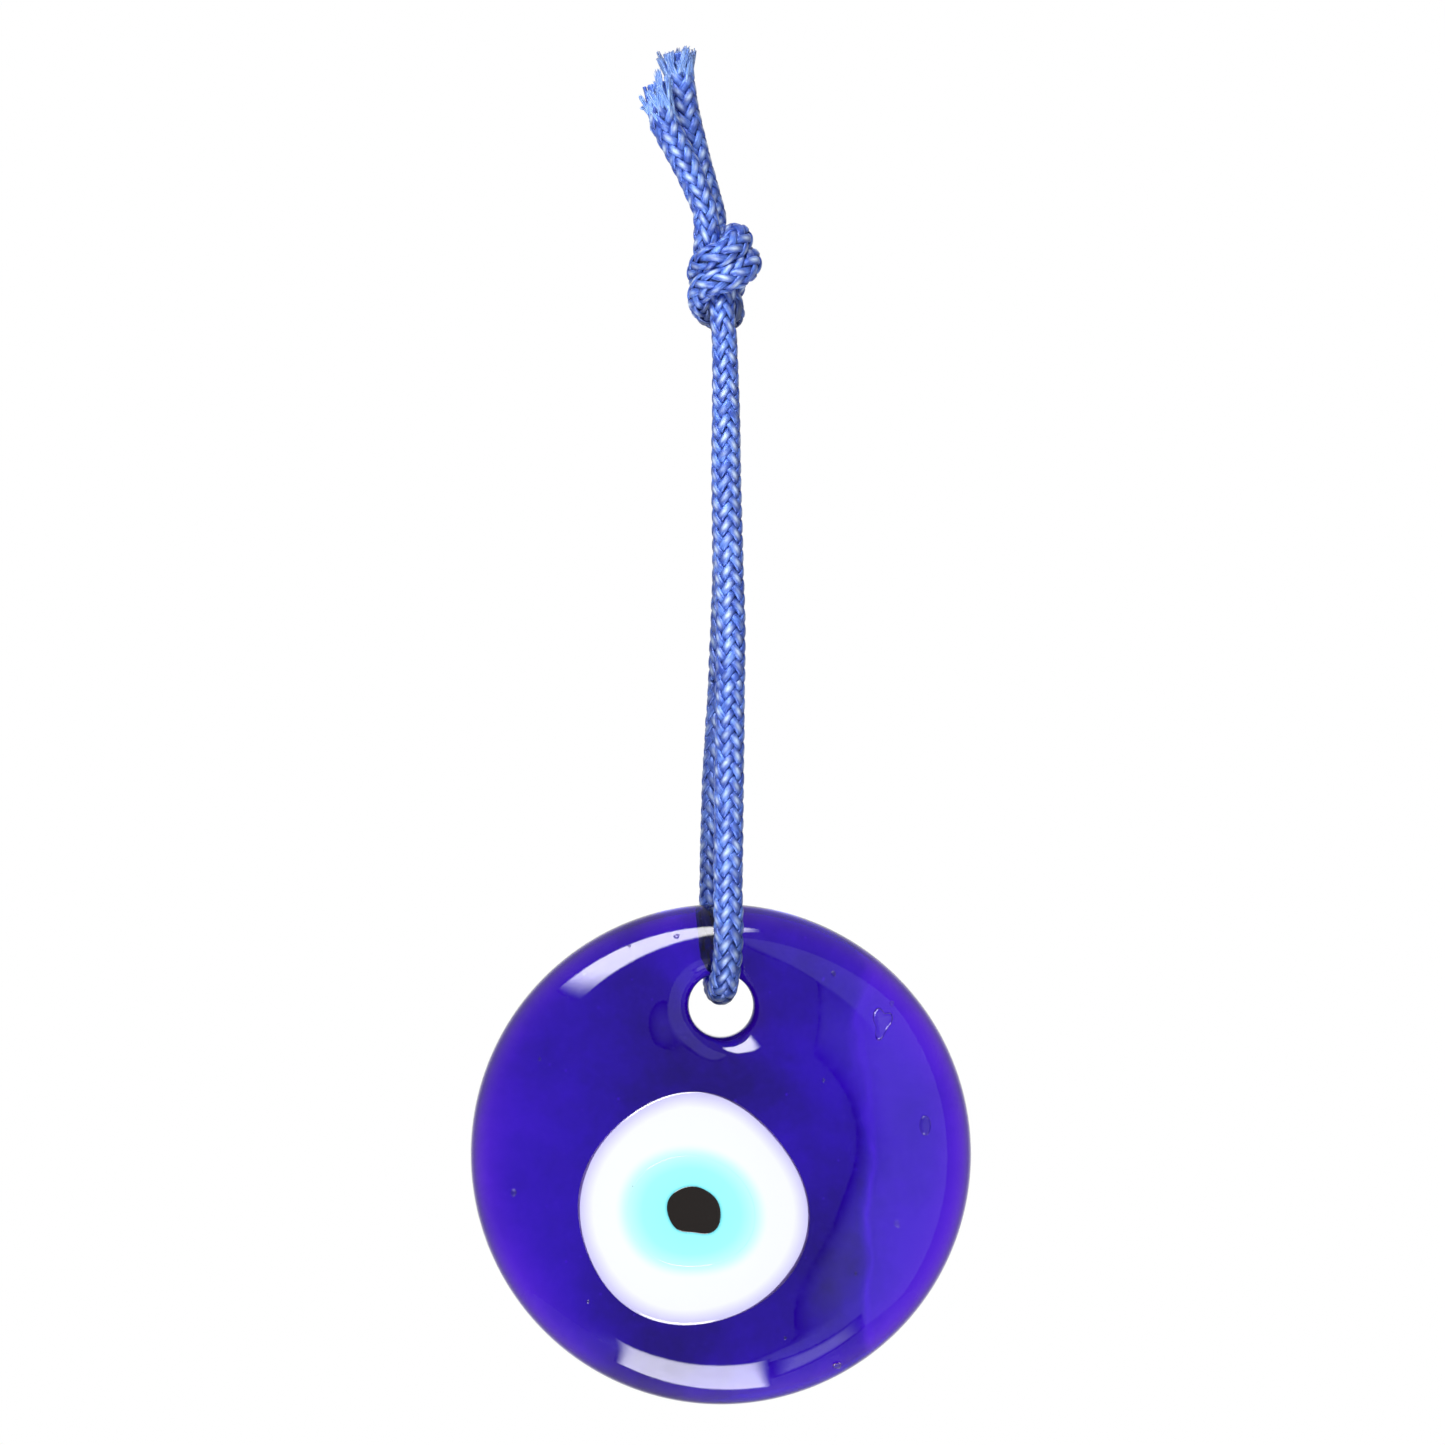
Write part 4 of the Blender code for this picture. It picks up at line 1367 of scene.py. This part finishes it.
@dataclass
class Studio:
    """Camera, lamps, lit cards, white surround and a pale floor."""

    frame_width_mm: float = 144.2
    centre_mm: tuple[float, float] = (0.16, -38.06)
    lens_mm: float = 200.0
    sensor_mm: float = 36.0
    clip_m: tuple[float, float] = (0.01, 20.0)
    disc_mm: tuple[float, float, float] = (0.0, 0.0, -81.2)
    # A card's points along each side, its rows from the middle out, where they start, and its thickness.
    card_columns: int = 24
    card_rows: int = 30
    card_middle: float = 0.02
    card_depth_mm: float = 2.0
    floor_radius_mm: float = 900.0
    floor_z_mm: float = -760.0
    # The surround's brightness from straight in front (0) to straight behind the ornament (1).
    sky: tuple[tuple[float, str], ...] = (
        (0.0, "929292"), (0.35, "959595"), (0.60, "AFAFAF"), (0.85, "BBBBBB"), (0.97, "FFFFFF"),
    )

    def camera(self) -> None:
        """Place the camera straight in front, at the distance that frames the ornament."""
        data = bpy.data.cameras.new("camera")
        data.lens, data.sensor_width = self.lens_mm, self.sensor_mm
        data.clip_start, data.clip_end = self.clip_m
        eye = bpy.data.objects.new("camera", data)
        distance = self.frame_width_mm * self.lens_mm / self.sensor_mm
        eye.location = Vector((self.centre_mm[0], -distance, self.centre_mm[1])) * MM
        eye.rotation_euler = (math.radians(90.0), 0.0, 0.0)
        bpy.context.scene.collection.objects.link(eye)
        bpy.context.scene.camera = eye

    def lamp(self, name: str, azimuth: float, elevation: float, distance: float,
             size: tuple[float, float], radiance: float) -> None:
        """Hang a lamp round the disc, facing it.

        It lights matt surfaces only, and the cards give the reflections.

        Args:
            name: its name.
            azimuth: degrees to the right of straight in front.
            elevation: degrees above the disc.
            distance: metres from the disc.
            size: its width and height in metres.
            radiance: how bright its face is.
        """
        data = bpy.data.lights.new(name, "AREA")
        data.shape = "RECTANGLE"
        data.size, data.size_y = size
        data.energy = radiance * math.pi * size[0] * size[1]
        lamp = bpy.data.objects.new(name, data)
        lamp.visible_glossy = False
        a, e = math.radians(azimuth), math.radians(elevation)
        way = Vector((math.sin(a) * math.cos(e), -math.cos(a) * math.cos(e), math.sin(e)))
        lamp.location = Vector(self.disc_mm) * MM + way * distance
        lamp.rotation_euler = way.to_track_quat("Z", "Y").to_euler()
        bpy.context.scene.collection.objects.link(lamp)

    def card(self, name: str, corners: tuple[tuple[float, float], ...], distance: float,
             radiance: float, soft: float) -> None:
        """Stand a lit card round the disc, bright in the middle and fading out to its edges.

        A corner's direction is its angle from straight in front and its clock angle, both in degrees. The
        brightness rises from 0 at the outline to full over a share of the way to the middle, as 3t^2 - 2t^3.

        Args:
            name: its name.
            corners: the corners' directions from the disc, in order round the card.
            distance: how far away they are, in metres.
            radiance: how bright its middle is.
            soft: the share of the way over which it fades.
        """
        polar, clock = np.radians(np.array(corners)).T
        points = np.stack([np.sin(polar) * np.sin(clock), -np.cos(polar), np.sin(polar) * np.cos(clock)], -1)
        points = points * distance * MM_PER_M + np.array(self.disc_mm)
        step = np.linspace(0.0, 1.0, self.card_columns, endpoint=False)[None, :, None]
        outline = (points[:, None] * (1 - step) + np.roll(points, -1, 0)[:, None] * step).reshape(-1, 3)
        middle = points.mean(0)
        share = np.linspace(self.card_middle, 1.0, self.card_rows)
        front = middle + share[:, None, None] * (outline - middle)
        back = front[::-1] + self.card_depth_mm * unit(middle - np.array(self.disc_mm))
        edge = 1.0 - np.concatenate([share, share[::-1]])
        lit = smooth_step(edge, 0.0, soft)[None, :, None] * np.ones((1, 1, outline.shape[0]))
        # A softbox's lit cloth: to the eye a soft white reflection with no hard edge.
        material, tree, shader = blank_material(name + "_face")
        level = add_node(tree, "ShaderNodeAttribute", {"attribute_name": "lit"})
        strength = add_node(tree, "ShaderNodeMath", {"operation": "MULTIPLY", 1: radiance},
                            {0: level.outputs["Fac"]})
        set_sockets(shader, {"Base Color": linear("000000"), "Emission Color": linear("FFFFFF"),
                             "Specular IOR Level": 0.0})
        tree.links.new(strength.outputs[0], shader.inputs["Emission Strength"])
        piece = ring_mesh(name, np.concatenate([front, back])[None], material, attributes={"lit": lit})
        for kind in ("camera", "diffuse", "transmission", "shadow"):
            setattr(piece, "visible_" + kind, False)

    def surround(self) -> None:
        """Make the surround: white behind the ornament, dimmer towards the front."""
        world = bpy.data.worlds.new("surround")
        world.use_nodes = True
        bpy.context.scene.world = world
        tree = world.node_tree
        place = add_node(tree, "ShaderNodeTexCoord")
        axes = add_node(tree, "ShaderNodeSeparateXYZ", links={0: place.outputs["Generated"]})
        place_share = add_node(tree, "ShaderNodeMapRange", {"From Min": -1.0}, {"Value": axes.outputs["Y"]})
        level = set_ramp(add_node(tree, "ShaderNodeValToRGB", links={0: place_share.outputs[0]}),
                         list(self.sky))
        path = add_node(tree, "ShaderNodeLightPath")
        seen = add_node(tree, "ShaderNodeMath", {"operation": "MAXIMUM"},
                        {0: level.outputs["Color"], 1: path.outputs["Is Camera Ray"]})
        tree.links.new(seen.outputs[0], tree.nodes["Background"].inputs["Strength"])
        tree.nodes["Background"].inputs["Color"].default_value = (1.0, 1.0, 1.0, 1.0)

    def floor(self) -> None:
        """Lay a pale round floor well below the ornament."""
        # Matt white card: to the eye an even pale ground that throws soft light up.
        material, _, shader = blank_material("pale_card")
        set_sockets(shader, {"Base Color": linear("F4F4F6"), "Roughness": 0.8})
        turn = np.linspace(0.0, TAU, 96, endpoint=False)
        edge = self.floor_radius_mm
        radii = np.array([2.0, edge, edge + 1.0, edge, 2.0])[:, None]
        heights = np.array([0.0, 0.0, -1.0, -2.0, -2.0])[:, None] + self.floor_z_mm
        rings = np.stack([radii * np.cos(turn), radii * np.sin(turn), heights + 0 * turn], -1)[None]
        ring_mesh("floor_card", rings, material)

    def build(self) -> None:
        """Set up the camera, the lights, the surround and the floor."""
        bpy.context.scene.view_settings.view_transform = "Standard"
        self.camera()
        self.surround()
        self.floor()
        self.lamp("key_lamp", -22.0, 45.0, 0.60, (0.38, 0.32), 9.0)
        self.lamp("fill_lamp", -9.5, -51.0, 0.60, (0.32, 0.44), 6.0)
        cards = (
            ("top_card", ((74.0, -47.0), (25.0, -47.0), (57.0, 11.0), (65.0, 11.0)), 0.60, 17.0, 0.36),
            ("bottom_card", ((74.0, 206.0), (28.0, 207.0), (26.0, 168.0), (86.0, 168.0)), 0.60, 13.0, 0.22),
            ("low_right_card", ((66.0, 168.0), (32.0, 168.0), (30.0, 142.0), (54.0, 142.0)), 0.60, 2.0, 0.6),
            ("right_card", ((40.0, 3.2), (40.0, 176.8), (66.0, 130.0), (66.0, 50.0)), 1.20, 0.75, 0.06),
        )
        for name, corners, distance, radiance, soft in cards:
            self.card(name, corners, distance, radiance, soft)


def report(pieces: list[bpy.types.Object]) -> None:
    """Log each piece's name and number of faces."""
    for piece in pieces:
        LOG.info("%s: %d faces", piece.name, len(piece.data.polygons))


def main() -> None:
    """Build the ornament and its studio."""
    logging.basicConfig(level=logging.INFO, format="%(message)s")
    studio = Studio()
    studio.build()
    routes = CordRoutes()
    braid = Braid()
    cord = BraidedPolyester().make()
    report(HangingLoop(routes, braid, cord).build())
    loose = BraidedPolyester("polyester_loose_filaments", deep="4468BE", body="7098E0", bright="B4D2FF",
                             roughness=0.5).make()
    report(OverhandKnot(routes, braid, cord, loose).build())
    disc = GlassDisc(CobaltGlass().make())
    report(disc.build())
    report(PourBlisters(disc).build())
    white = FusedGlass("opal_white_glass", ((0.0, "E6EDEE"), (0.88, "E3E5EC"), (1.0, "BCB8E4")),
                       speck="8C86A0", bleed="B4F5F5", bleed_end=1.22).make()
    pale = FusedGlass("opal_pale_blue_glass", ((0.0, "8FF0EE"), (0.78, "97F2F1"), (1.0, "B4F5F5")),
                      speck="7FE0E0", bleed="5FC8D8", bleed_end=1.12).make()
    black = FusedGlass("manganese_black_glass", ((0.0, "17110F"), (0.86, "14100F"), (1.0, "141A4A")),
                       speck="2A2422", bleed="17110F", bleed_end=0.98).make()
    report(FusedEye(white, pale, black).build())


if __name__ == "__main__":
    main()
